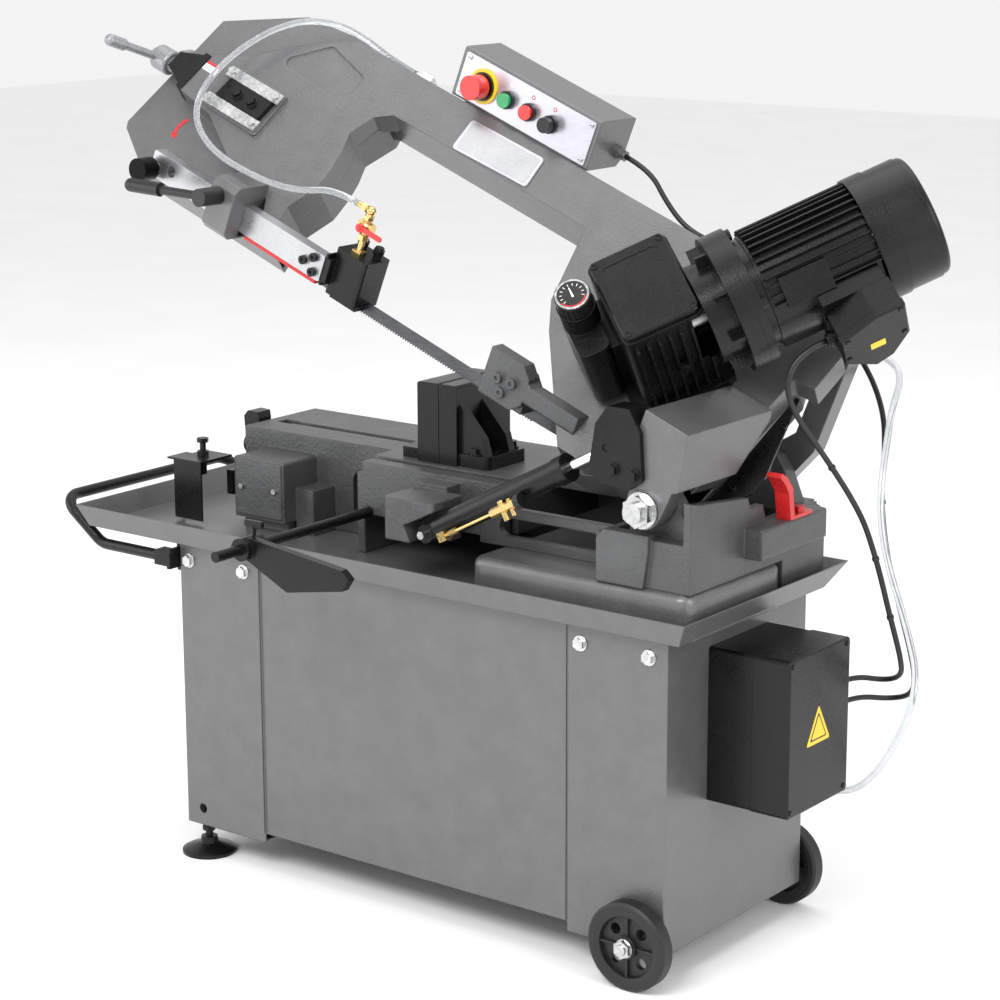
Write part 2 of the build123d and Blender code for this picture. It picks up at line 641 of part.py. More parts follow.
def wheel_guards():
    left = guard(idler_cover, -32, skirt_c)
    left -= block((-470, -380), (-13, 13), (-22, skirt_c + 1))
    drive = [
        (84, 100), (222, -42), (262, -42), (300, -24), (404, -22), (432, -6), (438, 236), (396, 336),
        (120, 336), (30, 336), (30, 272), (54, 145),
    ]
    right = guard(drive, -32, skirt_c)
    right -= block((140, 240), (-10, 10), (-22, skirt_c + 1))
    right -= block((20, 40), (282, 334), (-26, skirt_c + 1))
    left -= block((-440, -410), (282, 334), (-26, skirt_c + 1))
    tunnel = block((-425, 30), (274, 342), (-28, skirt_c)) - block((-426, 31), (276, 340), (-26, skirt_c + 1))
    return bow * (left + (tunnel - plate(idler_cover, -40, 40) - plate(drive, -40, 40)) + right)


def rear_plates():
    """Dark sheet plate with its screws on the motor end of the head."""
    dark = plate([(440.5, -2), (484, 70), (482, 106), (446, 228), (440.5, 228)], 14, 18)
    dark += block((438.5, 446), (-2, 228), (12, 14))
    dark += block((440.5, 446), (-2, 228), (12, 18))
    pieces = [dark]
    for b in (60, 180):
        pieces.append(cap_screw((456, b, 18), (0, 0, 1), 6))
    return pieces


def blade():
    """One closed band: around both wheels, twisted upright between the guides."""
    inner = wheel_r - 0.45
    outer = wheel_r + 0.45
    half = blade_width / 2
    ring = Cylinder(outer, blade_width) - Cylinder(inner, blade_width + 1)
    left = Pos(idler_a, wheel_b, 0) * (ring - block((0, 400), (-400, 400), (-40, 40)))
    right = Pos(drive_a, wheel_b, 0) * (ring - block((-400, 0), (-400, 400), (-40, 40)))
    back = block((idler_a, drive_a), (2 * wheel_b - 0.45, 2 * wheel_b + 0.45), (-half, half))
    stations = [(idler_a, 0), (-520, 11), (-434, 22.5), (-348, 34), (-262, 45), (126, 45)]
    stations += [(160, 34), (194, 22.5), (228, 11), (drive_a, 0)]
    sections = []
    for a, turn in stations:
        section = Rectangle(blade_width, blade_thickness)
        sections.append(Pos(a, 0, 0) * Rot(0, 90, 0) * Rot(0, 0, -turn) * section)
    front = loft(sections, ruled=True)
    return bow * (left + back + right + front)


def blade_wheel(bore):
    """A cast wheel with a rim flange, a dished web and a hub."""
    r = wheel_r - 0.75
    profile = [
        (bore, -16), (28, -16), (32, -6), (118, -5), (126, -12), (r - 2, -13), (r - 2, -11),
        (r, -11), (r, 13), (126, 13), (118, 5), (32, 6), (28, 16), (bore, 16),
    ]
    wheel = turned(profile)
    for k in range(6):
        wheel -= Rot(0, 0, 60 * k) * Pos(78, 0, 0) * Cylinder(19, 40)
    return wheel


def tension_carriage():
    """Slide block behind the plate with the idler shaft and the tension screw nut."""
    slide = block((-636, -576), (146.3, 173.7), (30, plate_c + 13))
    shoe = block((-640, -572), (136, 184), (26, 47.6))
    shaft = Pos(idler_a, wheel_b, -16) * Cylinder(14, 44, align=(Align.CENTER, Align.CENTER, Align.MIN))
    carriage = slide + shoe + shaft
    carriage += block((-654, -560), (141.4, 178.6), (plate_c + 5.2, plate_c + 15))
    for bolt_a in (-622, -590):
        carriage += Pos(bolt_a, 160, plate_c + 14) * Cylinder(10, 3, align=(Align.CENTER, Align.CENTER, Align.MIN))
        carriage += hexagon((bolt_a, 160, plate_c + 16), (bolt_a, 160, plate_c + 23), 15)
    carriage -= rod((-660, 160, screw_c), (-590, 160, screw_c), 6.05)
    return carriage


def tension_gibs():
    """Two bars that hold the tension slide against its pad, with their bolts."""
    bars = []
    for b in (131, 189):
        bar = block((-668, -552), (b - 9.5, b + 9.5), (plate_c + 5, plate_c + 13))
        for a in (-659, -561):
            bar += rod((a, b, plate_c + 13), (a, b, plate_c + 14.5), 8.5)
            bar += hexagon((a, b, plate_c + 14.5), (a, b, plate_c + 20), 12)
        bars.append(bar)
    return group(bars)


def tension_bracket():
    """Cast nose at the end of the head that supports the tension screw."""
    nose = plate([(-776, 146), (-724, 124), (-724, 198), (-776, 176)], skirt_c + 5, plate_c + 2)
    nose = nose + block((-736, -724), (124, 198), (skirt_c + 5, plate_c + 2))
    return nose - rod((-790, 160, screw_c), (-690, 160, screw_c), 7 + running_gap)


def tension_handle():
    """Screw with a domed hub and two ball-ended levers."""
    c = screw_c
    screw = rod((-800, 160, c), (-716, 160, c), 7) + rod((-717, 160, c), (-598, 160, c), 6)
    screw += rod((-790, 160, c), (-776.4, 160, c), 13)
    hub = rod((-824, 160, c), (-789, 160, c), 21)
    hub = fillet(hub.edges(), 5)
    handle = screw + hub + Pos(-822, 160, c) * Sphere(15)
    for tip in ((-850, 108, 122), (-826, 214, -24)):
        start = Vector(-808, 160, c)
        end = Vector(*tip)
        along = (end - start).normalized()
        handle += rod(start, end - along * 4, 7)
        handle += rod(end - along * 30, end - along * 4, 10)
        handle += Pos(*(end - along * 4)) * Sphere(10)
    return handle


# ------------------------------------------------------------------ head: gearbox and motor
def along_motor(x, radius, length):
    """A cylinder on the motor axis, starting at x."""
    return rod((x, -worm_offset, motor_c), (x + length, -worm_offset, motor_c), radius)


def gearbox_housing():
    case = block((-58, 62), (-76, 72), (plate_c, gearbox_top))
    case = fillet(case.edges().filter_by(Axis.Z), 12)
    foot = block((-74, 78), (-88, 84), (plate_c, plate_c + 14))
    foot = fillet(foot.edges().filter_by(Axis.Z), 14)
    case += foot + along_motor(60, 72, 40) + along_motor(96, 100, 24)
    # cooling ribs on the upper and lower sides
    for k in range(8):
        c = 88 + k * 19
        case += block((-48, 54), (71, 80), (c - 2, c + 2))
    for k in range(7):
        x = -44 + k * 16
        case += block((x - 2, x + 2), (-86, -75), (plate_c + 10, 232))
    for k in range(8):
        web = Pos(78, -worm_offset, motor_c) * Rot(45 * k + 22.5, 0, 0) * block((0, 20), (-3, 3), (68, 92))
        case += web
    case += rod((10, -80, 150), (10, -90, 150), 10)
    # inside of the case
    case -= block((-48, 52), (-66, 62), (plate_c + 12, gearbox_top - 8))
    case -= block((-44, 48), (-60, 58), (gearbox_top - 9, gearbox_top + 1))
    case -= along_motor(40, 60, 90)
    case -= Cylinder(22 + running_gap, 200)
    case -= Cylinder(40, 2 * (plate_c + 2))
    return gear * case


def gearbox_cover():
    cover = block((-55, 59), (-73, 69), (gearbox_top, gearbox_top + 10))
    cover = fillet(cover.edges().filter_by(Axis.Z), 12)
    cover = chamfer(cover.faces().sort_by(Axis.Z)[-1].edges(), 2)
    recess = block((-40, 44), (-56, 52), (gearbox_top + 8.6, gearbox_top + 12))
    cover -= fillet(recess.edges().filter_by(Axis.Z), 8)
    for x in (-47, 51):
        for y in (-65, 61):
            cover += rod((x, y, gearbox_top + 9), (x, y, gearbox_top + 12), 5)
            cover -= hexagon((x, y, gearbox_top + 10.5), (x, y, gearbox_top + 13), 5)
    return gear * cover


def worm_wheel():
    """Bronze worm wheel with its shaft, carrying the drive wheel."""
    rim = Pos(0, 0, motor_c - 12) * Cylinder(32, 24, align=(Align.CENTER, Align.CENTER, Align.MIN))
    for k in range(24):
        rim -= Rot(0, 0, 15 * k) * Pos(34, 0, motor_c) * Rot(8, 0, 0) * Cylinder(3.2, 40)
    shaft = Pos(0, 0, -18) * Cylinder(22, gearbox_top + 8, align=(Align.CENTER, Align.CENTER, Align.MIN))
    return gear * (rim + shaft)


def motor_rotor():
    """Motor shaft with the worm at one end, the rotor core and the fan at the other."""
    shaft = along_motor(-46, 10.4, 392) + along_motor(31, 11, 300) + along_motor(180, 50, 110)
    worm = along_motor(-30, 12.4, 60)
    for k in range(6):
        groove = Cylinder(14, 3.4) - Cylinder(10.4, 5)
        worm -= Pos(-26 + 10 * k, -worm_offset, motor_c) * Rot(0, 90, 0) * groove
    fan = along_motor(330, 22, 16) + along_motor(330, 68, 2.5)
    for k in range(7):
        turn = 360 / 7 * k
        fan += Pos(0, -worm_offset, motor_c) * Rot(turn, 0, 0) * block((331, 360), (-1.2, 1.2), (24, 70))
    return gear * (shaft + worm + fan)


def motor_body():
    body = along_motor(120, 100, 13) + along_motor(132, 78, 18) + along_motor(146, 80, 162)
    for k in range(40):
        turn = 9 * k
        if 58 < turn < 122:
            continue
        body += Pos(0, -worm_offset, motor_c) * Rot(turn, 0, 0) * block((150, 308), (-1.3, 1.3), (78, 88))
    body += block((206, 300), (-worm_offset - 98, -worm_offset - 70), (motor_c - 46, motor_c + 46))
    body -= along_motor(110, 58, 22) + along_motor(150, 60, 150)
    body -= along_motor(100, 11 + running_gap, 300)
    body += Pos(0, -worm_offset, motor_c) * Rot(45, 0, 0) * block((166, 236), (-22, 22), (78, 89.5))
    for k in range(4):
        turn = math.radians(45 + 90 * k)
        y = -worm_offset + 88 * math.cos(turn)
        c = motor_c + 88 * math.sin(turn)
        body += hexagon((132, y, c), (141, y, c), 15)
    return gear * body


def motor_fan_cover():
    cover = along_motor(309, 91, 30) + along_motor(337, 89, 50)
    end = along_motor(386, 87, 14)
    cover += fillet(end.edges().sort_by(Axis.X)[-1], 8)
    cover -= along_motor(308, 88.2, 32) + along_motor(338, 86.2, 50) + along_motor(386, 78, 10.5)
    for ring in range(3):
        for k in range(6 + 6 * ring):
            turn = 2 * math.pi * k / (6 + 6 * ring)
            reach = 18 + 22 * ring
            y = -worm_offset + reach * math.cos(turn)
            c = motor_c + reach * math.sin(turn)
            cover -= rod((390, y, c), (404, y, c), 4)
    for k in range(4):
        turn = math.radians(45 + 90 * k)
        y = -worm_offset + 84.5 * math.cos(turn)
        c = motor_c + 84.5 * math.sin(turn)
        cover += rod((308, y, c), (322, y, c), 4.4)
    return gear * cover


def terminal_box():
    y = -worm_offset - 98
    outline = [(208, 160), (250, 126), (276, 134), (303, 170), (303, 238), (262, 238), (208, 214)]
    face = Polygon(*outline, align=None)
    plane = Plane(origin=(0, y, 0), x_dir=(1, 0, 0), z_dir=(0, -1, 0))
    body = plane * extrude(face, 40, dir=(0, 0, 1))
    lid = plane * (Pos(0, 0, 40) * extrude(offset(face, 1.5, kind=Kind.INTERSECTION), 13, dir=(0, 0, 1)))
    lid = chamfer(lid.faces().sort_by(Axis.Y)[0].edges(), 2)
    box = body + lid - plane * (Pos(0, 0, 3) * extrude(offset(face, -4), 44, dir=(0, 0, 1)))
    box += rod((208, y - 20, 185), (196, y - 20, 185), 9) + hexagon((206, y - 20, 185), (199, y - 20, 185), 22)
    for x, c in ((214, 168), (297, 176), (297, 232), (216, 210)):
        box += rod((x, y - 52, c), (x, y - 55, c), 4)
    return gear * box


def speed_unit():
    """Housing of the speed control on the side of the gearbox."""
    case = block((-117, -70), (-34, 70), (plate_c + 14, 200))
    case = fillet(case.edges().filter_by(Axis.Z), 14)
    neck = rod((-92, 30, 196), (-92, 30, 236), 28)
    join = block((-80, -58), (-24, 60), (plate_c + 16, 180))
    return gear * (case + neck + join - rod((-92, 30, 222), (-92, 30, 240), 7 + running_gap))


def speed_dial():
    dial = rod((-92, 30, 236.4), (-92, 30, 262), 26)
    for k in range(20):
        turn = 2 * math.pi * k / 20
        x = -92 + 26.6 * math.cos(turn)
        y = 30 + 26.6 * math.sin(turn)
        dial -= rod((x, y, 236), (x, y, 256), 1.8)
    dial += rod((-92, 30, 223), (-92, 30, 237), 7)
    return gear * dial


# ------------------------------------------------------------------ head: controls
def control_box():
    outline = [(160, 950), (238, 950), (250, 966), (250, 1031), (160, 1031)]
    case = fillet(end_plate(outline, -329, -51).edges().filter_by(Axis.X), 4)
    case -= end_plate([(163, 953), (236, 953), (247, 968), (247, 1028), (163, 1028)], -326, -54)
    foot = end_plate([(162, 951), (230, 951), (190, 912), (150, 951)], -300, -80)
    foot -= bow * block((-900, 900), (-400, 350), (-300, 90))
    case += foot
    for x in (-274, -224, -180, -136):
        case -= rod((x, 150, 988), (x, 170, 988), 11 + running_gap)
    case += rod((-51, 228, 976), (-33, 228, 976), 8) + hexagon((-51, 228, 976), (-43, 228, 976), 20)
    return case


def control_panel():
    panel = softened(block((-322, -58), (158, 160), (955, 1026)), Axis.Y, 4)
    for x in (-274, -224, -180, -136):
        panel -= rod((x, 150, 988), (x, 170, 988), 11 + running_gap)
    for x in (-314, -66):
        for z in (962, 1019):
            panel += rod((x, 158, z), (x, 155.4, z), 4)
    return panel


def push_button(x, cap, head, gap=4.0):
    """A button whose stem runs in the panel hole, with its cap clear of the bezel."""
    stem = rod((x, 146, 988), (x, 182, 988), 11)
    return stem + rod((x, head, 988), (x, 151.5 - gap, 988), cap)


def button_bezels():
    rings = []
    for x, radius in ((-274, 22), (-224, 14), (-180, 14), (-136, 14)):
        rings.append(tube((x, 158, 988), (x, 151.5, 988), radius, 11 + running_gap))
    return group(rings)


# ------------------------------------------------------------------ head: blade guides and coolant
def guide_arm():
    bar = softened(block((-660, -281), (-100, -80), (680, 723)), Axis.Y, 4)
    bar -= rod((-617, -110, 704), (-617, -70, 704), 9)
    grip = rod((-649, -100, 696), (-649, -112, 696), 9) + rod((-649, -112, 696), (-649, -142, 696), 18.5)
    strip = block((-444, -290), (-96, -84), (672, 680))
    return group([bar, grip, strip])


def guide_clamp():
    outer = block((-505, -455), (-132, -58), (668, 755))
    outer = chamfer(outer.edges().filter_by(Axis.X).group_by(Axis.Y)[0], 10)
    seat = bow * block((-505, -455), (-10, 40), (skirt_c + 5, 62))
    clamp = outer + seat - bow * block((-900, 900), (-400, 700), (-300, skirt_c + 5))
    clamp -= bow * plate(raised_left, skirt_c, plate_c)
    clamp -= block((-506, -454), (-100.3, -79.7), (671.6, 723.3))
    return clamp - rod((-487, -120, 730), (-487, -160, 730), 6 + running_gap)


def clamp_lever():
    """Hand lever that locks the guide bar in its clamp."""
    lever = rod((-487, -132.4, 730), (-487, -176, 730), 14) + rod((-487, -121, 730), (-487, -134, 730), 6)
    lever += rod((-487, -160, 730), (-606, -168, 690), 7)
    lever += rod((-572, -166, 702), (-629, -169, 683), 11)
    return lever + Pos(-629, -169, 683) * Sphere(11)


def guide_head():
    head = softened(block((-277, -215), (-84, -26), (664, 740)), Axis.Z, 5)
    head += block((-275, -222), (-70, -40), (654, 665))
    head -= block((-300, -200), (blade_y - 0.75, blade_y + 0.75), (645, 672))
    head += block((-281, -277), (-98, -72), (676, 728)) + block((-281, -270), (-98, -72), (682, 722))
    for x in (-262, -230):
        head += rod((x, -42, 739), (x, -42, 757), 7) + hexagon((x, -42, 746), (x, -42, 753), 17)
    return head


def guide_screws():
    screws = []
    for x, z in ((-296, 690), (-318, 700), (-300, 713)):
        screws.append(rod((x, -100, z), (x, -106, z), 7) - hexagon((x, -103, z), (x, -107, z), 5))
    return group(screws)


def coolant_valve():
    x = -248.0
    y = -66.0
    body = block((x - 8, x + 8), (y - 8, y + 8), (740, 746)) + rod((x, y, 744), (x, y, 803), 5)
    body += hexagon((x, y, 764), (x, y, 773), 15)
    body += rod((x - 12, y, 786), (x + 12, y, 786), 8.5) + Pos(x, y, 786) * Sphere(10)
    body += hexagon((x, y, 798), (x, y, 804), 14) + rod((x, y, 802), (x, y, 810), 6.5)
    body += Pos(x, y, 812) * Sphere(7.5) + rod((x, y, 812), (x - 26, y, 812), 4.5)
    body += hexagon((x - 8, y, 812), (x - 16, y, 812), 12)
    return body - rod((x, y - 15, 786), (x, y - 7, 786), 3.05)


def valve_lever():
    x = -248.0
    y = -66.0
    stem = rod((x, y - 7.6, 786), (x, y - 20, 786), 3) + rod((x, y - 14, 786), (x, y - 18, 786), 7)
    arm = softened(block((x, x + 44), (y - 17, y - 14.5), (782, 790)), Axis.Y, 3)
    return stem + arm


def fixed_guide():
    body = block((53, 131), (-100, -76), (672, 746))
    body = chamfer(body.edges().filter_by(Axis.Y).group_by(Axis.X)[-1], 16)
    arm = side_plate([(120, 672), (120, 730), (200, 690), (229, 682), (229, 656), (200, 664)], -100, -60)
    toe = block((62, 122), (-78, -34), (664, 700)) - block((50, 140), (blade_y - 0.75, blade_y + 0.75), (640, 672))
    foot = block((120, 229), (-100, 10), (690, 720))
    foot -= bow * block((-900, 900), (-400, 700), (-300, plate_c))
    shape = body + toe + (arm - bow * block((-900, 900), (-400, 700), (-300, plate_c))) + foot
    for x, z in ((92, 690), (80, 708), (106, 712)):
        shape += rod((x, -100, z), (x, -107, z), 8)
        shape -= hexagon((x, -104, z), (x, -108, z), 6)
    return shape


# ------------------------------------------------------------------ electrical box on the stand
def electrical_box():
    case = block((half_length, 539), (-80, 80), (256, 486))
    case = fillet(case.edges().filter_by(Axis.X), 5)
    case -= block((half_length + 3, 541), (-77, 77), (259, 483))
    lid = block((539, 600), (-81, 83), (255, 487))
    lid = fillet(lid.edges().filter_by(Axis.X), 6)
    lid = fillet(lid.faces().sort_by(Axis.X)[-1].edges(), 3)
    lid -= block((536, 597), (-78, 77), (259, 483))
    pieces = [case, lid]
    for y in (-72, 74):
        for z in (264, 478):
            pieces.append(rod((600, y, z), (602, y, z), 4))
    return group(pieces)


def cable_glands():
    """Threaded unions where the cables and the coolant hose enter the stand side."""
    pieces = []
    for x, z in ((574, 408), (574, 376)):
        pieces.append(hexagon((x, 83, z), (x, 92, z), 20) + rod((x, 92, z), (x, 100, z), 8))
    pieces.append(hexagon((half_length, 130, 226), (half_length + 8, 130, 226), 18)
                  + rod((half_length + 8, 130, 226), (half_length + 22, 130, 226), 5))
    return group(pieces)


def levelling_foot(side):
    """Rubber-shod levelling foot with its stud and lock nut."""
    pad = turned([(0, 0), (44, 0), (44, 5), (38, 8), (15, 16), (13, 26), (0, 26)])
    stud = rod((0, 0, 20), (0, 0, 84), 6)
    nut = hexagon((0, 0, 36), (0, 0, 44), 19)
    return Pos(foot_x, side * foot_y, 0) * (pad + stud + nut)


def bracket_block():
    """Solid outline of the rod-end bracket, drawn in the raised position."""
    outline = [(334, 742), (346, 812), (366, 838), (402, 838), (420, 806), (424, 740), (402, 724), (356, 728)]
    outer = side_plate(outline, -192, -151)
    inner = side_plate([(366, 750), (372, 812), (402, 830), (416, 800), (420, 752)], -152, -116)
    return outer + inner


# ------------------------------------------------------------------ cables and coolant hoses
motor_cable_path = [
    (594.5, 2.5, 924.9), (566, -24.2, 907.6), (556.1, -40.2, 863.3), (567.9, -28, 821.1),
    (586.1, -8.1, 784.1), (603.8, 11, 746.4), (620.6, 29.9, 708.2), (635.1, 47.3, 668.4),
    (645.1, 59.5, 625.4), (653.1, 70.6, 581.7), (659.2, 81.7, 537.6), (663.8, 96.4, 494.5),
    (662, 118.4, 454.6), (649.4, 146.6, 421.3), (613.6, 165.9, 402.4), (574, 140.8, 408),
    (574, 100.4, 408),
]
control_cable_path = [
    (102.9, 228, 1124.6), (147.6, 228, 1106.8), (176.7, 229.3, 1060.5), (210.8, 231.9, 1023.7),
    (258.4, 235.4, 1004.6), (306.2, 237.2, 986), (354, 237.9, 967.2), (400.4, 238.1, 945.1),
    (445.1, 237.1, 919.8), (486.7, 233.3, 889.9), (524.6, 225.8, 856.2), (558.2, 209, 821.2),
    (586, 184.5, 785.8), (606.5, 152.7, 751.2), (622, 119.9, 714.9), (635.7, 97.9, 670.7),
    (648, 90.5, 621.7), (659.4, 94.6, 571.7), (670.5, 101.9, 522.1), (677.6, 115.7, 473.3),
    (675.3, 137.7, 427.1), (656.6, 166.1, 389), (613.9, 182.3, 370.2), (574, 146.8, 376),
    (574, 100.4, 376),
]
coolant_hose_lower_path = [
    (487.4, 130, 226), (534.7, 130, 226), (585.9, 130.1, 236.4), (621, 130.3, 271.2),
    (646.6, 129.6, 314.2), (669.3, 122.7, 358.1), (688.5, 111.3, 402.8), (698, 98.6, 450.1),
    (693.2, 84.7, 497.8), (686.6, 69.6, 545), (678.7, 53.4, 591.7), (671.1, 42.6, 639.8),
    (663.9, 41.7, 689.1), (655.5, 59.3, 734.9), (644.6, 89.2, 773.2), (627.4, 128.1, 799.2),
    (610.3, 170.9, 818.4), (593.2, 215.7, 832.6), (567.3, 254.8, 849.2), (527.6, 239.6, 872.9),
    (527.6, 200.3, 872.9),
]
coolant_hose_upper_path = [
    (-265.6, 176.9, 1235.9), (-312.6, 176.9, 1254.7), (-357.3, 164.5, 1287.9), (-402.9, 149.5, 1311),
    (-448.6, 123.6, 1317.4), (-485, 87.5, 1303.7), (-511.9, 48.5, 1279.5), (-529.9, 8.8, 1248.9),
    (-537, -30, 1213.2), (-522.4, -62.2, 1174.3), (-485.4, -80.9, 1141.2), (-439.2, -89.1, 1116.4),
    (-389.2, -89, 1097.7), (-338.2, -85.9, 1082.7), (-286, -78.2, 1075.3), (-229, -66, 1080.8),
    (-182.3, -66, 1062.1),
]


def cord(name, points, radius):
    """A round tube along straight runs joined by arcs."""
    points = [Vector(*point) for point in points]
    bends = []
    for before, corner, after in zip(points, points[1:], points[2:]):
        run_in = corner - before
        run_out = after - corner
        half_turn = math.radians(run_in.get_angle(run_out)) / 2
        shorter = min(run_in.length, run_out.length)
        bends.append(min(0.45 * shorter / math.tan(half_turn), 4000.0))
    path = FilletPolyline(*points, radius=bends)
    print(name, "length", round(path.length), "bend radii", [round(r) for r in bends])
    section = Plane(origin=path @ 0, z_dir=path % 0) * Circle(radius)
    cord_nodes.append(name)
    keep(name, sweep(section, path))


def hose_union():
    """Block with a barb on top of the head where the coolant hose starts."""
    foot = block((-402, -380), (350, 364), (30, 50)) + rod((-401, 358, 40), (-416, 358, 40), 4)
    return bow * foot


def lug_union():
    """Barb on the rear lug of the head."""
    return hexagon((455, 184, 900), (455, 190, 900), 18) + rod((455, 190, 900), (455, 200, 900), 4.5)


# ------------------------------------------------------------------ assembly
keep("cabinet_stand", cabinet_stand())
keep("chip_tray", chip_tray())
keep("base_casting", group([base_casting(), base_cover_plate()]))
keep("frame_fasteners", group([frame_fasteners(), wheel_axle()]))
keep("lift_handle", lift_handle())
keep("transport_wheel_front", transport_wheel(-1))
keep("transport_wheel_rear", transport_wheel(1))
keep("levelling_foot_front", levelling_foot(-1))
keep("levelling_foot_rear", levelling_foot(1))
keep("head_stop", head_stop())
keep("stop_rod", stop_rod())
keep("stop_arm", stop_arm())
keep("vise_screw", vise_screw())
keep("moving_jaw", moving_jaw())
keep("fixed_jaw", fixed_jaw())
keep("latch_hook", latch_hook())
cylinder_parts()
keep("cylinder_bracket", cylinder_bracket())
keep("electrical_box", electrical_box())
keep("cable_glands", cable_glands())

keep("bow_casting", bow_casting(), True)
keep("wheel_guards", wheel_guards(), True)
keep("rear_plate", bow * group(rear_plates()), True)
keep("blade", blade(), True)
keep("drive_wheel", bow * Pos(drive_a, wheel_b, 0) * blade_wheel(22), True)
keep("idler_wheel", bow * Pos(idler_a, wheel_b, 0) * blade_wheel(14 + running_gap), True)
keep("tension_carriage", bow * tension_carriage(), True)
keep("head_fittings", group([bow * tension_gibs(), hose_union(), lug_union()]), True)
keep("tension_bracket", bow * tension_bracket(), True)
keep("tension_handle", bow * tension_handle(), True)
keep("gearbox_housing", gearbox_housing(), True)
keep("gearbox_cover", gearbox_cover(), True)
keep("worm_wheel", worm_wheel(), True)
keep("motor_rotor", motor_rotor(), True)
keep("motor_body", motor_body(), True)
keep("motor_fan_cover", motor_fan_cover(), True)
keep("terminal_box", terminal_box(), True)
keep("speed_unit", speed_unit(), True)
keep("speed_dial", speed_dial(), True)
keep("control_box", control_box(), True)
keep("control_panel", control_panel(), True)
keep("button_bezels", button_bezels(), True)
keep("estop_button", push_button(-274, 19, 122), True)
keep("start_button", push_button(-224, 11.5, 144, 4), True)
keep("stop_button", push_button(-180, 11.5, 144, 4), True)
keep("selector_knob", push_button(-136, 12, 138, 0.4), True)
keep("guide_arm", guide_arm(), True)
keep("guide_clamp", guide_clamp(), True)
keep("clamp_lever", clamp_lever(), True)
keep("guide_head", group([guide_head(), guide_screws()]), True)
keep("coolant_valve", coolant_valve(), True)
keep("valve_lever", valve_lever(), True)
keep("fixed_guide", fixed_guide(), True)

for name in head_nodes:
    parts[name] = parts[name].rotate(pivot_axis, raise_angle)

cord("motor_cable", motor_cable_path, 4)
cord("control_cable", control_cable_path, 4)
cord("coolant_hose_lower", coolant_hose_lower_path, 5)
cord("coolant_hose_upper", coolant_hose_upper_path, 5)

low = [1e9, 1e9, 1e9]
high = [-1e9, -1e9, -1e9]
for name, shape in parts.items():
    if name in cord_nodes:
        continue
    box = shape.bounding_box()
    low = [min(low[0], box.min.X), min(low[1], box.min.Y), min(low[2], box.min.Z)]
    high = [max(high[0], box.max.X), max(high[1], box.max.Y), max(high[2], box.max.Z)]
shift = (-(low[0] + high[0]) / 2, -(low[1] + high[1]) / 2, -low[2])
print("size", [round(high[i] - low[i], 2) for i in range(3)], "shift", [round(v, 3) for v in shift])

os.makedirs("parts", exist_ok=True)
for name, shape in parts.items():
    moved = Pos(*shift) * shape
    export_step(moved, "parts/" + name + ".step")
    print(name, len(shape.solids()), round(shape.volume))
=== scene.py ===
"""Looks of the horizontal band saw: camera, light, floor, finishes, cords and the small parts the CAD omits."""
import json
import math

import bmesh
import bpy
from mathutils import Matrix, Vector


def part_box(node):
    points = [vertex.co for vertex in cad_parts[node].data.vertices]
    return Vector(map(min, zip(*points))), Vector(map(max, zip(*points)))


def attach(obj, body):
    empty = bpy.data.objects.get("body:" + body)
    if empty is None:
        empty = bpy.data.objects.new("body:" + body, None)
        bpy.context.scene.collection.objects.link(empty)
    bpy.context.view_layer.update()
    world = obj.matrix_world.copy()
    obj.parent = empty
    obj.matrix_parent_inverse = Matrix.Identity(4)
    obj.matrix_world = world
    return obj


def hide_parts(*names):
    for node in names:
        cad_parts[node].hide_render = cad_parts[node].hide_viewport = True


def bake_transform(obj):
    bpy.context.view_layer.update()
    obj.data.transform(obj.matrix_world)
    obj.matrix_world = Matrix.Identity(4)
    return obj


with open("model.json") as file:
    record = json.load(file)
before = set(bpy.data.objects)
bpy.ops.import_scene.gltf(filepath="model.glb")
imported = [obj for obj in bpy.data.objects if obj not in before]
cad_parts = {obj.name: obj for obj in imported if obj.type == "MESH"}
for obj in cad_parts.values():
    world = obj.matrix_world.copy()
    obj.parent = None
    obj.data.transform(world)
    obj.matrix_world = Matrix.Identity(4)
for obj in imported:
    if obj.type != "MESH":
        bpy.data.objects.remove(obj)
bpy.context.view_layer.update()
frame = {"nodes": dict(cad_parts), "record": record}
nodes = frame["nodes"]

shift = Vector((6.775, 87.0, 0.0))
lift = math.radians(21.8)
tilt = math.sqrt(0.5)


# ------------------------------------------------------------------ places
def machine(x, y, z):
    """A point in the machine's own millimetres, as a point of the frame in metres."""
    return (Vector((x, y, z)) + shift) / 1000


def head(a, b, c):
    """A point of the raised head in millimetres: along the blade, up its slope, out of its face."""
    x = a
    y = -48 + tilt * (b - c)
    z = 661 + tilt * (b + c)
    along = x - 421
    up = z - 698
    x = 421 + along * math.cos(lift) + up * math.sin(lift)
    z = 698 - along * math.sin(lift) + up * math.cos(lift)
    return machine(x, y, z)


# ------------------------------------------------------------------ camera
camera = bpy.data.objects.new("camera", bpy.data.cameras.new("camera"))
bpy.context.scene.collection.objects.link(camera)
camera.data.lens = 95.46
camera.data.sensor_width = 36
camera.data.clip_end = 50
right = Vector((0.7935, 0.6086, 0.0)).normalized()
back = Vector((0.5917, -0.7714, 0.2343)).normalized()
up = back.cross(right).normalized()
right = up.cross(back).normalized()
roll = Matrix.Rotation(math.radians(-0.186), 4, "Z")
turn = Matrix((right, up, back)).transposed().to_4x4()
camera.matrix_world = Matrix.Translation((2.420735, -3.01656, 1.56352)) @ turn @ roll
bpy.context.scene.camera = camera
bpy.context.scene.view_settings.view_transform = "Standard"


# ------------------------------------------------------------------ finishes
def new_material(name):
    """A material with an empty principled shader, its links and its object coordinates."""
    material = bpy.data.materials.new(name)
    material.use_nodes = True
    tree = material.node_tree
    shader = tree.nodes["Principled BSDF"]
    where = tree.nodes.new("ShaderNodeTexCoord").outputs["Object"]
    return material, tree, shader, where


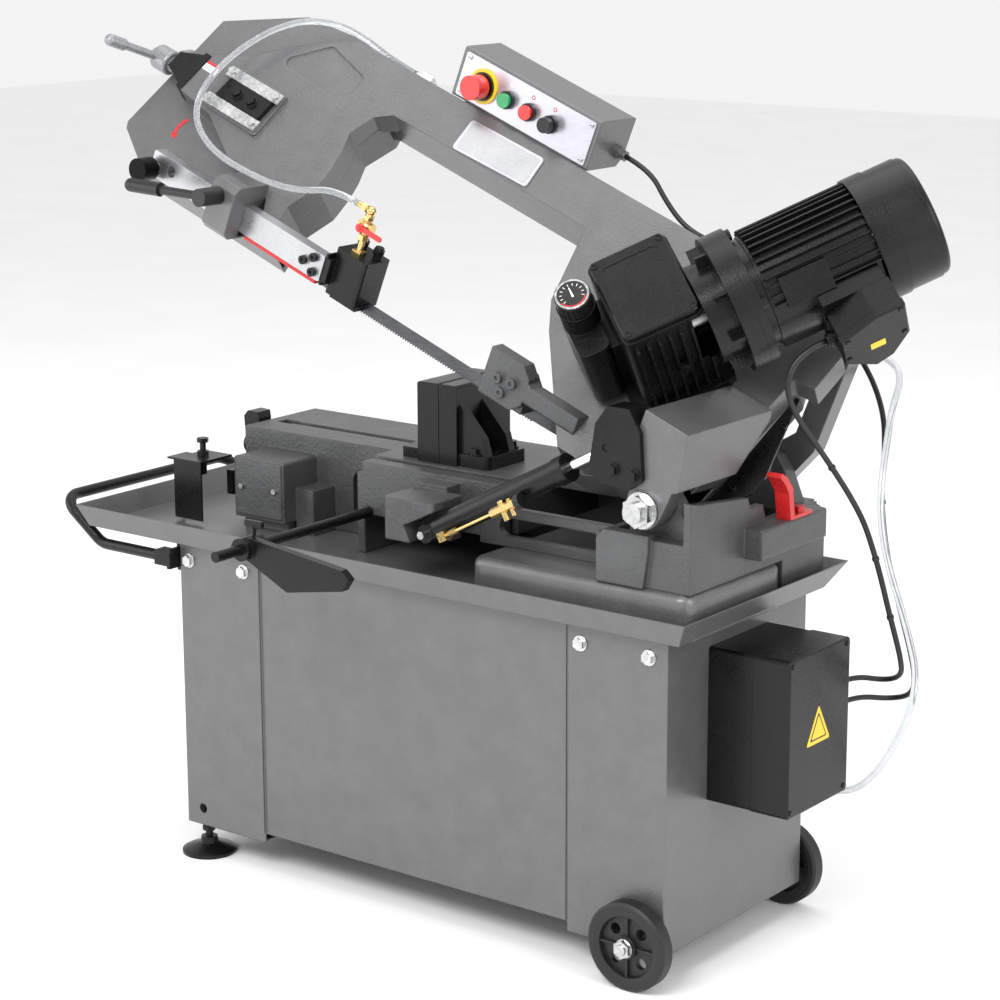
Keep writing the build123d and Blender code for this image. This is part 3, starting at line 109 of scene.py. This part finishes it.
def noise(tree, where, scale, detail=4, rough=0.55, stretch=None):
    """A noise pattern of that many bumps a metre."""
    if stretch:
        mapping = tree.nodes.new("ShaderNodeMapping")
        mapping.inputs["Scale"].default_value = stretch
        tree.links.new(where, mapping.inputs["Vector"])
        where = mapping.outputs["Vector"]
    texture = tree.nodes.new("ShaderNodeTexNoise")
    texture.inputs["Scale"].default_value = scale
    texture.inputs["Detail"].default_value = detail
    texture.inputs["Roughness"].default_value = rough
    tree.links.new(where, texture.inputs["Vector"])
    return texture.outputs["Fac"]


def ramp(tree, value, low, high, start=0.3, end=0.7):
    """Colours from low to high as a pattern goes from start to end."""
    node = tree.nodes.new("ShaderNodeValToRGB")
    node.color_ramp.elements[0].position = start
    node.color_ramp.elements[1].position = end
    node.color_ramp.elements[0].color = (*low, 1)
    node.color_ramp.elements[1].color = (*high, 1)
    tree.links.new(value, node.inputs["Fac"])
    return node.outputs["Color"]


def between(tree, value, low, high, start=0.3, end=0.7):
    """Numbers from low to high as a pattern goes from start to end."""
    node = tree.nodes.new("ShaderNodeMapRange")
    node.inputs["From Min"].default_value = start
    node.inputs["From Max"].default_value = end
    node.inputs["To Min"].default_value = low
    node.inputs["To Max"].default_value = high
    tree.links.new(value, node.inputs["Value"])
    return node.outputs["Result"]


def bump(tree, shader, height, strength, distance, before):
    """Relief on the surface, on top of any relief before it."""
    node = tree.nodes.new("ShaderNodeBump")
    node.inputs["Strength"].default_value = strength
    node.inputs["Distance"].default_value = distance
    tree.links.new(height, node.inputs["Height"])
    tree.links.new(before, node.inputs["Normal"])
    tree.links.new(node.outputs["Normal"], shader.inputs["Normal"])
    return node.outputs["Normal"]


def cells(tree, where, scale):
    """A pattern of small round cells, that many a metre."""
    texture = tree.nodes.new("ShaderNodeTexVoronoi")
    texture.feature = "SMOOTH_F1"
    texture.inputs["Scale"].default_value = scale
    tree.links.new(where, texture.inputs["Vector"])
    return texture.outputs["Distance"]


def finish_material(name, low, high, metal, gloss, rough_spread=0.08, grain=180, relief=0.2, depth=0.0002,
                    stretch=None, cell=0, coat=0.0, blotch=9, edge=0.0006, sheen=0.5):
    """A finish: two tones in soft blotches and fine grain, uneven shine, relief and rounded edges."""
    material, tree, shader, where = new_material(name)
    shader.inputs["Metallic"].default_value = metal
    shader.inputs["Specular IOR Level"].default_value = sheen
    shader.inputs["Coat Weight"].default_value = coat
    shader.inputs["Coat Roughness"].default_value = 0.12
    wide = noise(tree, where, blotch, 5, 0.6)
    fine = noise(tree, where, grain, 4, 0.6, stretch)
    blend = tree.nodes.new("ShaderNodeMath")
    blend.operation = "ADD"
    tree.links.new(wide, blend.inputs[0])
    tree.links.new(fine, blend.inputs[1])
    both = blend.outputs[0]
    tone = ramp(tree, between(tree, both, 0, 1, 0.7, 1.3), low, high, 0.1, 0.9)
    shine = between(tree, both, gloss - rough_spread, gloss + rough_spread, 0.75, 1.25)
    tree.links.new(tone, shader.inputs["Base Color"])
    tree.links.new(shine, shader.inputs["Roughness"])
    round_edge = tree.nodes.new("ShaderNodeBevel")
    round_edge.samples = 4
    round_edge.inputs["Radius"].default_value = edge
    before = round_edge.outputs["Normal"]
    if cell:
        before = bump(tree, shader, cells(tree, where, cell), relief, depth * 2, before)
    bump(tree, shader, fine, relief, depth, before)
    return material


finishes = {
    "grey_paint": finish_material(
        "grey_paint", low=(0.122, 0.123, 0.125), high=(0.146, 0.147, 0.150),
        metal=0.45, gloss=0.33, rough_spread=0.05, grain=520, relief=0.35, depth=0.0004,
        cell=340, coat=0.1, blotch=26, edge=0.003,
    ),
    "cast_grey": finish_material(
        "cast_grey", low=(0.066, 0.067, 0.069), high=(0.098, 0.100, 0.102),
        metal=0.35, gloss=0.40, rough_spread=0.08, grain=320, relief=0.4, depth=0.0006, cell=220,
        blotch=14, edge=0.004,
    ),
    "black_paint": finish_material(
        "black_paint", low=(0.0022, 0.0022, 0.0025), high=(0.0065, 0.0065, 0.007),
        metal=0.0, gloss=0.31, rough_spread=0.07, grain=350, relief=0.2, depth=0.0003, cell=420,
        edge=0.0015, sheen=0.3,
    ),
    "zinc": finish_material(
        "zinc", low=(0.42, 0.43, 0.44), high=(0.68, 0.68, 0.67),
        metal=1.0, gloss=0.27, rough_spread=0.1, grain=160, relief=0.12, depth=0.0001, blotch=30,
    ),
    "ground_steel": finish_material(
        "ground_steel", low=(0.38, 0.385, 0.40), high=(0.58, 0.585, 0.60),
        metal=1.0, gloss=0.34, rough_spread=0.1, grain=60, relief=0.15, depth=0.0001,
        stretch=(1, 30, 30),
    ),
    "blade_steel": finish_material(
        "blade_steel", low=(0.06, 0.062, 0.068), high=(0.13, 0.132, 0.138),
        metal=0.9, gloss=0.36, rough_spread=0.1, grain=60, relief=0.15, depth=0.0001,
        stretch=(1, 30, 30),
    ),
    "chrome_rod": finish_material(
        "chrome_rod", low=(0.68, 0.69, 0.71), high=(0.82, 0.83, 0.85),
        metal=1.0, gloss=0.1, rough_spread=0.05, grain=300, relief=0.05, depth=0.00005,
    ),
    "alloy": finish_material(
        "alloy", low=(0.36, 0.365, 0.38), high=(0.52, 0.525, 0.54),
        metal=0.9, gloss=0.36, rough_spread=0.1, grain=90, relief=0.15, depth=0.0001,
        stretch=(1, 12, 12),
    ),
    "light_paint": finish_material(
        "light_paint", low=(0.20, 0.21, 0.22), high=(0.30, 0.31, 0.32),
        metal=0.45, gloss=0.34, rough_spread=0.08, grain=260, relief=0.25, depth=0.0004,
        cell=260, coat=0.1,
    ),
    "brass": finish_material(
        "brass", low=(0.60, 0.42, 0.16), high=(0.78, 0.58, 0.26),
        metal=1.0, gloss=0.26, rough_spread=0.08, grain=240, relief=0.1, depth=0.0001,
    ),
    "bronze": finish_material(
        "bronze", low=(0.40, 0.26, 0.10), high=(0.56, 0.38, 0.16),
        metal=1.0, gloss=0.34, rough_spread=0.08, grain=240, relief=0.1, depth=0.0001,
    ),
    "black_plastic": finish_material(
        "black_plastic", low=(0.003, 0.003, 0.0033), high=(0.008, 0.008, 0.0085),
        metal=0.0, gloss=0.38, rough_spread=0.06, grain=500, relief=0.12, depth=0.0001,
    ),
    "red_plastic": finish_material(
        "red_plastic", low=(0.50, 0.008, 0.008), high=(0.68, 0.02, 0.015),
        metal=0.0, gloss=0.26, rough_spread=0.06, grain=300, relief=0.06, depth=0.0001, coat=0.3,
    ),
    "green_plastic": finish_material(
        "green_plastic", low=(0.005, 0.22, 0.06), high=(0.015, 0.32, 0.10),
        metal=0.0, gloss=0.26, rough_spread=0.06, grain=300, relief=0.06, depth=0.0001, coat=0.3,
    ),
    "red_paint": finish_material(
        "red_paint", low=(0.46, 0.010, 0.012), high=(0.62, 0.022, 0.022),
        metal=0.0, gloss=0.3, rough_spread=0.06, grain=260, relief=0.1, depth=0.0002, coat=0.2,
    ),
    "panel_metal": finish_material(
        "panel_metal", low=(0.46, 0.455, 0.50), high=(0.62, 0.61, 0.66),
        metal=0.85, gloss=0.33, rough_spread=0.1, grain=40, relief=0.1, depth=0.0001,
        stretch=(1, 40, 40),
    ),
    "rubber": finish_material(
        "rubber", low=(0.003, 0.003, 0.0033), high=(0.008, 0.008, 0.0085),
        metal=0.0, gloss=0.45, rough_spread=0.08, grain=300, relief=0.15, depth=0.0002,
    ),
    "tyre": finish_material(
        "tyre", low=(0.004, 0.004, 0.0042), high=(0.010, 0.010, 0.0105),
        metal=0.0, gloss=0.5, rough_spread=0.08, grain=260, relief=0.25, depth=0.0003,
    ),
    "yellow_plastic": finish_material(
        "yellow_plastic", low=(0.72, 0.47, 0.01), high=(0.84, 0.58, 0.02),
        metal=0.0, gloss=0.34, rough_spread=0.06, grain=300, relief=0.06, depth=0.0001,
    ),
    "white_print": finish_material(
        "white_print", low=(0.70, 0.70, 0.70), high=(0.82, 0.82, 0.82),
        metal=0.0, gloss=0.45, rough_spread=0.06, grain=300, relief=0.05, depth=0.0001,
    ),
}


def clear_hose():
    """Clear soft tubing, a little cloudy."""
    material, tree, shader, where = new_material("clear_hose")
    shader.inputs["Transmission Weight"].default_value = 0.82
    shader.inputs["IOR"].default_value = 1.38
    cloud = noise(tree, where, 60, 4, 0.6)
    tree.links.new(ramp(tree, cloud, (0.70, 0.74, 0.76), (0.88, 0.90, 0.91)), shader.inputs["Base Color"])
    tree.links.new(between(tree, cloud, 0.06, 0.2), shader.inputs["Roughness"])
    round_edge = tree.nodes.new("ShaderNodeBevel")
    round_edge.inputs["Radius"].default_value = 0.0004
    bump(tree, shader, cloud, 0.08, 0.0002, round_edge.outputs["Normal"])
    return material


finishes["clear_hose"] = clear_hose()



def tint(material, mask, colour, metal):
    """Another colour and another metal share where the mask is 1."""
    tree = material.node_tree
    shader = tree.nodes["Principled BSDF"]
    metal_before = shader.inputs["Metallic"].default_value
    for socket, base, other in (("Base Color", None, (*colour, 1)), ("Metallic", metal_before, metal)):
        mix = tree.nodes.new("ShaderNodeMix")
        mix.data_type = "RGBA" if base is None else "FLOAT"
        kind = "_Color" if base is None else "_Float"
        ends = {plug.identifier: plug for plug in mix.inputs}
        if base is None:
            tree.links.new(shader.inputs[socket].links[0].from_socket, ends["A" + kind])
        else:
            ends["A" + kind].default_value = base
        ends["B" + kind].default_value = other
        tree.links.new(mask, ends["Factor_Float"])
        out = {plug.identifier: plug for plug in mix.outputs}["Result" + kind]
        tree.links.new(out, shader.inputs[socket])


def side_of(material, direction, limit):
    """A mask that is 1 where a point's measure along direction is under limit."""
    tree = material.node_tree
    where = tree.nodes.new("ShaderNodeTexCoord").outputs["Object"]
    along = tree.nodes.new("ShaderNodeVectorMath")
    along.operation = "DOT_PRODUCT"
    along.inputs[1].default_value = direction
    tree.links.new(where, along.inputs[0])
    return between(tree, along.outputs["Value"], 1, 0, limit - 0.0002, limit + 0.0002)


# the guide bar is bare metal, with a black knob in front of it and a red strip under it
guide_finish = finish_material(
    "guide_arm_finish", low=(0.36, 0.365, 0.38), high=(0.52, 0.525, 0.54),
    metal=0.9, gloss=0.36, rough_spread=0.1, grain=90, relief=0.15, depth=0.0001, stretch=(1, 12, 12),
)
knob_face = -0.0136
tint(guide_finish, side_of(guide_finish, (0, 1, 0), knob_face), (0.005, 0.005, 0.0055), 0.0)
bar_low_edge = 0.6798
pivot_up = 0.698
pivot_along = 0.427775
level = bar_low_edge - pivot_up * (1 - math.cos(lift)) + pivot_along * math.sin(lift)
upright = (math.sin(lift), 0, math.cos(lift))
tint(guide_finish, side_of(guide_finish, upright, level), (0.5, 0.012, 0.014), 0.0)
for part in frame["record"]["subparts"]:
    mesh_object = nodes.get(part["node"])
    if mesh_object is None:
        continue
    for place in mesh_object.material_slots:
        place.material = finishes[part["material_slot"]]
for place in nodes["guide_arm"].material_slots:
    place.material = guide_finish


# ------------------------------------------------------------------ pieces
def add_mesh(name, mesh, slot, body):
    """Puts a mesh in the scene with its finish, riding on a body."""
    piece = bpy.data.objects.new(name, mesh)
    bpy.context.scene.collection.objects.link(piece)
    mesh.materials.append(finishes[slot])
    if body:
        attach(piece, body)
    return piece


# ------------------------------------------------------------------ cords
motor_cable_path = [
    (594.5, 2.5, 924.9), (566, -24.2, 907.6), (556.1, -40.2, 863.3), (567.9, -28, 821.1),
    (586.1, -8.1, 784.1), (603.8, 11, 746.4), (620.6, 29.9, 708.2), (635.1, 47.3, 668.4),
    (645.1, 59.5, 625.4), (653.1, 70.6, 581.7), (659.2, 81.7, 537.6), (663.8, 96.4, 494.5),
    (662, 118.4, 454.6), (649.4, 146.6, 421.3), (613.6, 165.9, 402.4), (574, 140.8, 408),
    (574, 100.4, 408),
]
control_cable_path = [
    (102.9, 228, 1124.6), (147.6, 228, 1106.8), (176.7, 229.3, 1060.5), (210.8, 231.9, 1023.7),
    (258.4, 235.4, 1004.6), (306.2, 237.2, 986), (354, 237.9, 967.2), (400.4, 238.1, 945.1),
    (445.1, 237.1, 919.8), (486.7, 233.3, 889.9), (524.6, 225.8, 856.2), (558.2, 209, 821.2),
    (586, 184.5, 785.8), (606.5, 152.7, 751.2), (622, 119.9, 714.9), (635.7, 97.9, 670.7),
    (648, 90.5, 621.7), (659.4, 94.6, 571.7), (670.5, 101.9, 522.1), (677.6, 115.7, 473.3),
    (675.3, 137.7, 427.1), (656.6, 166.1, 389), (613.9, 182.3, 370.2), (574, 146.8, 376),
    (574, 100.4, 376),
]
coolant_hose_lower_path = [
    (487.4, 130, 226), (534.7, 130, 226), (585.9, 130.1, 236.4), (621, 130.3, 271.2),
    (646.6, 129.6, 314.2), (669.3, 122.7, 358.1), (688.5, 111.3, 402.8), (698, 98.6, 450.1),
    (693.2, 84.7, 497.8), (686.6, 69.6, 545), (678.7, 53.4, 591.7), (671.1, 42.6, 639.8),
    (663.9, 41.7, 689.1), (655.5, 59.3, 734.9), (644.6, 89.2, 773.2), (627.4, 128.1, 799.2),
    (610.3, 170.9, 818.4), (593.2, 215.7, 832.6), (567.3, 254.8, 849.2), (527.6, 239.6, 872.9),
    (527.6, 200.3, 872.9),
]
coolant_hose_upper_path = [
    (-265.6, 176.9, 1235.9), (-312.6, 176.9, 1254.7), (-357.3, 164.5, 1287.9), (-402.9, 149.5, 1311),
    (-448.6, 123.6, 1317.4), (-485, 87.5, 1303.7), (-511.9, 48.5, 1279.5), (-529.9, 8.8, 1248.9),
    (-537, -30, 1213.2), (-522.4, -62.2, 1174.3), (-485.4, -80.9, 1141.2), (-439.2, -89.1, 1116.4),
    (-389.2, -89, 1097.7), (-338.2, -85.9, 1082.7), (-286, -78.2, 1075.3), (-229, -66, 1080.8),
    (-182.3, -66, 1062.1),
]


def spline_points(name, path):
    """Points on a cord's smooth line: a NURBS spline whose control points are the route's."""
    curve = bpy.data.curves.new(name + "_line", "CURVE")
    curve.dimensions = "3D"
    curve.resolution_u = 8
    spline = curve.splines.new("NURBS")
    spline.points.add(len(path) - 1)
    for point, place in zip(spline.points, path):
        point.co = (*machine(*place), 1)
    spline.order_u = 3
    spline.use_endpoint_u = True
    line = bpy.data.objects.new(name + "_line", curve)
    bpy.context.scene.collection.objects.link(line)
    bpy.context.view_layer.update()
    mesh = bpy.data.meshes.new_from_object(line)
    points = [Vector(vertex.co) for vertex in mesh.vertices]
    bpy.data.objects.remove(line)
    bpy.data.meshes.remove(mesh)
    bpy.data.curves.remove(curve)
    if (points[0] - machine(*path[0])).length > (points[-1] - machine(*path[0])).length:
        points.reverse()
    return points


def tube(name, points, radius, sides=16):
    """A round tube mesh along points, with closed ends."""
    shape = bmesh.new()
    rings = []
    side = None
    for index, point in enumerate(points):
        before = points[max(index - 1, 0)]
        after = points[min(index + 1, len(points) - 1)]
        ahead = (after - before).normalized()
        if side is None:
            side = ahead.orthogonal().normalized()
        side = (side - ahead * side.dot(ahead)).normalized()
        other = ahead.cross(side)
        ring = []
        for step in range(sides):
            angle = 2 * math.pi * step / sides
            across = side * (radius * math.cos(angle)) + other * (radius * math.sin(angle))
            ring.append(shape.verts.new(point + across))
        rings.append(ring)
    for ring, following in zip(rings, rings[1:]):
        for step in range(sides):
            after = (step + 1) % sides
            shape.faces.new((ring[step], ring[after], following[after], following[step])).smooth = True
    shape.faces.new(reversed(rings[0]))
    shape.faces.new(rings[-1])
    mesh = bpy.data.meshes.new(name)
    shape.to_mesh(mesh)
    shape.free()
    return mesh


def flexible(name, path, radius, slot, ties=()):
    """A cord along its route as one fixed tube, with the ties on it, in place of the CAD cord."""
    points = spline_points(name, path)
    for number, share in enumerate(ties):
        index = int(share * (len(points) - 1))
        ahead = (points[index + 1] - points[index - 1]).normalized()
        ends = [points[index] - ahead * 0.0022, points[index] + ahead * 0.0022]
        label = name + "_tie_" + str(number)
        band = add_mesh(label, tube(label, ends, radius + 0.0012, 24), "black_plastic", None)
        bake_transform(band)
    piece = add_mesh(name + "_skin", tube(name + "_skin", points, radius), slot, None)
    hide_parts(name)
    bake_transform(piece)


flexible(
    "motor_cable", motor_cable_path, radius=0.004, slot="rubber",
    ties=(0.3, 0.52, 0.66),
)
flexible(
    "control_cable", control_cable_path, radius=0.004, slot="rubber",
    ties=(0.62, 0.72),
)
flexible(
    "coolant_hose_lower", coolant_hose_lower_path, radius=0.005, slot="clear_hose",
)
flexible(
    "coolant_hose_upper", coolant_hose_upper_path, radius=0.005, slot="clear_hose",
)


# ------------------------------------------------------------------ small parts
def prism(name, outline, low, high, place, slot, body, edge=0.0):
    """A flat piece with an outline (u, v) from low to high, put in place by a function of (u, v, w)."""
    shape = bmesh.new()
    bottom = [shape.verts.new(place(u, v, low)) for u, v in outline]
    top = [shape.verts.new(place(u, v, high)) for u, v in outline]
    count = len(outline)
    shape.faces.new(bottom)
    shape.faces.new(list(reversed(top)))
    for index in range(count):
        after = (index + 1) % count
        shape.faces.new((bottom[index], top[index], top[after], bottom[after]))
    bmesh.ops.recalc_face_normals(shape, faces=shape.faces[:])
    if edge:
        rims = [line for line in shape.edges if all(corner in top for corner in line.verts)]
        bmesh.ops.bevel(shape, geom=rims, offset=edge, segments=2, affect="EDGES")
    mesh = bpy.data.meshes.new(name)
    shape.to_mesh(mesh)
    shape.free()
    return add_mesh(name, mesh, slot, body)


def rounded(corners, radius, steps=4):
    """The outline with its corners rounded."""
    outline = []
    count = len(corners)
    for index in range(count):
        before = Vector(corners[index - 1])
        corner = Vector(corners[index])
        after = Vector(corners[(index + 1) % count])
        first = corner + (before - corner).normalized() * radius
        last = corner + (after - corner).normalized() * radius
        for step in range(steps + 1):
            share = step / steps
            outline.append(tuple(first.lerp(corner, share).lerp(corner.lerp(last, share), share)))
    return outline


def box_outline(left, right, bottom, top):
    """The outline of a rectangle."""
    return [(left, bottom), (right, bottom), (right, top), (left, top)]


def arc(centre, low, high, start, end, steps=16):
    """The outline of a curved band from radius low to high."""
    outline = []
    for step in range(steps + 1):
        angle = math.radians(start + (end - start) * step / steps)
        outline.append((centre[0] + high * math.cos(angle), centre[1] + high * math.sin(angle)))
    for step in range(steps, -1, -1):
        angle = math.radians(start + (end - start) * step / steps)
        outline.append((centre[0] + low * math.cos(angle), centre[1] + low * math.sin(angle)))
    return outline


gear_cos = math.cos(math.radians(62))
gear_sin = math.sin(math.radians(62))


def gear(s, y, c):
    """A point of the gear motor (along its shaft, across it, out of the head)."""
    return head(262 + s * gear_cos - y * gear_sin, 160 + s * gear_sin + y * gear_cos, c)


def lowered(x, y, z):
    """A point of the parts that are upright when the head is down."""
    along = x - 421
    rise = z - 698
    x = 421 + along * math.cos(lift) + rise * math.sin(lift)
    z = 698 - along * math.sin(lift) + rise * math.cos(lift)
    return machine(x, y, z)


def panel_place(x, z, out):
    """A point of the control panel's face: along it, up it, out of it."""
    return lowered(x, 158 - out, z)


# blank plate on the arm, with a raised rim
badge = [(-264, 330), (-117, 333), (-109, 277), (-258, 272)]
prism("arm_badge", rounded(badge, 7), 60.1, 63.2, head, "panel_metal", "head", 0.0006)
middle = (sum(p[0] for p in badge) / 4, sum(p[1] for p in badge) / 4)
inner_badge = [(middle[0] + (u - middle[0]) * 0.93, middle[1] + (v - middle[1]) * 0.86) for u, v in badge]
prism("arm_badge_field", rounded(inner_badge, 5), 63.0, 63.6, head, "alloy", "head")

# turning arrow on the idler cover
prism("turning_arrow", arc((-668, 80), 33, 39, 150, 205), 23.05, 23.5, head, "red_paint", "head")
tip = math.radians(222)
side_a = math.radians(203)
prism("turning_arrow_tip", [
    (-668 + 43 * math.cos(side_a), 80 + 43 * math.sin(side_a)),
    (-668 + 36 * math.cos(tip), 80 + 36 * math.sin(tip)),
    (-668 + 29 * math.cos(side_a), 80 + 29 * math.sin(side_a)),
], 23.05, 23.5, head, "red_paint", "head")

# plain scale strip beside the tension screw
prism("tension_scale", box_outline(-722, -690, 172, 186), 60.1, 60.5, head, "white_print", "head")
for tick in range(7):
    at = -719 + tick * 4.4
    mark = box_outline(at, at + 0.9, 173, 181)
    prism("tension_scale_tick_" + str(tick), mark, 60.45, 60.7, head, "black_plastic", "head")
prism("tension_scale_band", box_outline(-722, -690, 184, 189), 60.45, 60.7, head, "red_paint", "head")

# speed dial face: glossy disc, ticks and a red arc
dial_at = (-92, 30)


def dial_place(u, v, w):
    """A point of the dial's face: along the motor, across it, out of the dial."""
    return gear(dial_at[0] + u, dial_at[1] + v, 262 + w)


def circle(radius, count=40):
    """The outline of a disc."""
    turns = [2 * math.pi * k / count for k in range(count)]
    return [(radius * math.cos(turn), radius * math.sin(turn)) for turn in turns]


prism("dial_rim", arc((0, 0), 21.5, 24.5, 0, 359.9, 48), 0.05, 1.6, dial_place, "zinc", "dial")
prism("dial_face", circle(21.4), 0.05, 0.7, dial_place, "black_plastic", "dial")
prism("dial_arc", arc((0, 0), 18.5, 20.5, 200, 330), 0.65, 0.95, dial_place, "red_paint", "dial")
for tick in range(11):
    angle = math.radians(-30 + 24 * tick)
    cos = math.cos(angle)
    sin = math.sin(angle)
    ends = [(14, 0.5), (18, 0.5), (18, -0.5), (14, -0.5)]
    outline = [(r * cos - w * sin, r * sin + w * cos) for r, w in ends]
    prism("dial_tick_" + str(tick), outline, 0.65, 0.95, dial_place, "white_print", "dial")
pointer = [(-1.6, -5), (1.6, -5), (0.6, 12), (-0.6, 12)]
prism("dial_pointer", pointer, 0.65, 1.1, dial_place, "white_print", "dial")

# yellow ring behind the emergency stop, round marks over the buttons, and painted shade in the slots of the panel
# screws
button_row = 988
stop_ring = arc((-274, button_row), 22.3, 27.5, 0, 359.9, 48)
prism("stop_ring", stop_ring, 0.05, 3.2, panel_place, "yellow_plastic", "head")
marks = (("start_mark", -224, "white_print"), ("stop_mark", -180, "red_paint"), ("selector_mark", -136, "red_paint"))
for name, x, tone in marks:
    prism(name, arc((x, 1012), 2.2, 3.4, 0, 359.9, 20), 0.05, 0.3, panel_place, tone, "head")
# painted shade: flat black strips stand in for the shaded recess of each screw slot
for index, x in enumerate((-314, -66)):
    for row, z in enumerate((962, 1019)):
        slot_shade_outline = box_outline(x - 3, x + 3, z - 0.5, z + 0.5)
        slot_shade_name = "panel_screw_slot_shade_" + str(index) + str(row)
        prism(slot_shade_name, slot_shade_outline, 2.55, 2.75, panel_place, "black_plastic", "head")

# blade teeth along the cutting edge
blade_edge = 9.4
tooth_pitch = 5.2
tooth_height = 3.2
half_thickness = 0.45
teeth = bmesh.new()
tooth_a = -262.0
while tooth_a < 126:
    faces = []
    for out in (-half_thickness, half_thickness):
        ring = []
        for a, drop in ((tooth_a, 0), (tooth_a + 4.6, 0), (tooth_a + 0.6, tooth_height)):
            reach = blade_edge + drop
            ring.append(teeth.verts.new(head(a, (out - reach) * tilt, (-out - reach) * tilt)))
        faces.append(ring)
    teeth.faces.new(faces[0])
    teeth.faces.new(list(reversed(faces[1])))
    for k in range(3):
        after = (k + 1) % 3
        teeth.faces.new((faces[0][k], faces[1][k], faces[1][after], faces[0][after]))
    tooth_a += tooth_pitch
bmesh.ops.recalc_face_normals(teeth, faces=teeth.faces[:])
teeth_mesh = bpy.data.meshes.new("blade_teeth")
teeth.to_mesh(teeth_mesh)
teeth.free()
add_mesh("blade_teeth", teeth_mesh, "blade_steel", "head")

# plain yellow labels, and painted shade in the seams of the stand
def box_lid_place(u, v, w):
    """A point of the electrical box's lid: across it, up it, out of it."""
    return machine(600 + w, u, v)


def terminal_lid_place(u, v, w):
    """A point of the terminal box's lid: along the motor, out of the head, out of the lid."""
    lid_face = -196
    return gear(u, lid_face - w, v)


def stand_front_place(u, v, w):
    """A point of the stand's front face: along it, up it, out of it."""
    return Vector((machine(u, 0, 0).x, stand_box[0].y - w / 1000, machine(0, 0, v).z))


stand_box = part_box("cabinet_stand")
patch = rounded([(-34, 350), (30, 350), (-2, 406)], 5)
patch_core = rounded([(-25, 355.5), (21, 355.5), (-2, 396)], 4)
patch_field = rounded([(-21, 358), (17, 358), (-2, 391)], 3)
prism("warning_patch", patch, 0.05, 0.4, box_lid_place, "yellow_plastic", "frame")
prism("warning_patch_core", patch_core, 0.35, 0.6, box_lid_place, "black_plastic", "frame")
prism("warning_patch_field", patch_field, 0.55, 0.8, box_lid_place, "yellow_plastic", "frame")
terminal_label = rounded(box_outline(246, 268, 168, 182), 1.5)
prism("terminal_patch", terminal_label, 0.05, 0.4, terminal_lid_place, "yellow_plastic", "head")
# painted shade: thin black strips stand in for the shade in the gaps between the stand's panels
for side, spot in enumerate((-296, 294)):
    strip = box_outline(spot - 0.9, spot + 0.9, 66, 520)
    prism("stand_seam_shade_" + str(side), strip, 0.05, 0.25, stand_front_place, "black_plastic", "frame")


# ------------------------------------------------------------------ floor and light
def plane_mesh(name, size):
    """A flat square that reaches size from its middle each way."""
    shape = bmesh.new()
    bmesh.ops.create_grid(shape, x_segments=1, y_segments=1, size=size)
    mesh = bpy.data.meshes.new(name)
    shape.to_mesh(mesh)
    shape.free()
    return mesh


floor_material, floor_tree, floor_shader, floor_where = new_material("floor")
floor_shader.inputs["Roughness"].default_value = 0.75
floor_tone = ramp(floor_tree, noise(floor_tree, floor_where, 3), (0.90, 0.90, 0.90), (0.93, 0.93, 0.93))
floor_tree.links.new(floor_tone, floor_shader.inputs["Base Color"])
floor = bpy.data.objects.new("floor", plane_mesh("floor", 12))
bpy.context.scene.collection.objects.link(floor)
floor.data.materials.append(floor_material)


def area_light(name, place, target, size, power):
    """A soft rectangular light at place, aimed at target."""
    light = bpy.data.objects.new(name, bpy.data.lights.new(name, "AREA"))
    bpy.context.scene.collection.objects.link(light)
    light.data.shape = "RECTANGLE"
    light.data.size = size[0]
    light.data.size_y = size[1]
    light.data.energy = power
    light.location = place
    light.rotation_euler = (Vector(target) - Vector(place)).to_track_quat("-Z", "Y").to_euler()
    return light


centre = (0, 0, 0.7)
area_light("key", (0.6, -3.2, 3.4), centre, (2.2, 1.6), 120)
area_light("side", (3.6, -0.4, 1.9), centre, (2.2, 2.2), 55)
area_light("fill", (-3.0, -2.2, 1.6), centre, (2.4, 2.4), 40)
area_light("top", (0, 0.6, 4.2), centre, (3.2, 3.2), 60)

world = bpy.data.worlds.new("studio")
bpy.context.scene.world = world
world.use_nodes = True
world.node_tree.nodes["Background"].inputs["Color"].default_value = (1, 1, 1, 1)
world.node_tree.nodes["Background"].inputs["Strength"].default_value = 0.9
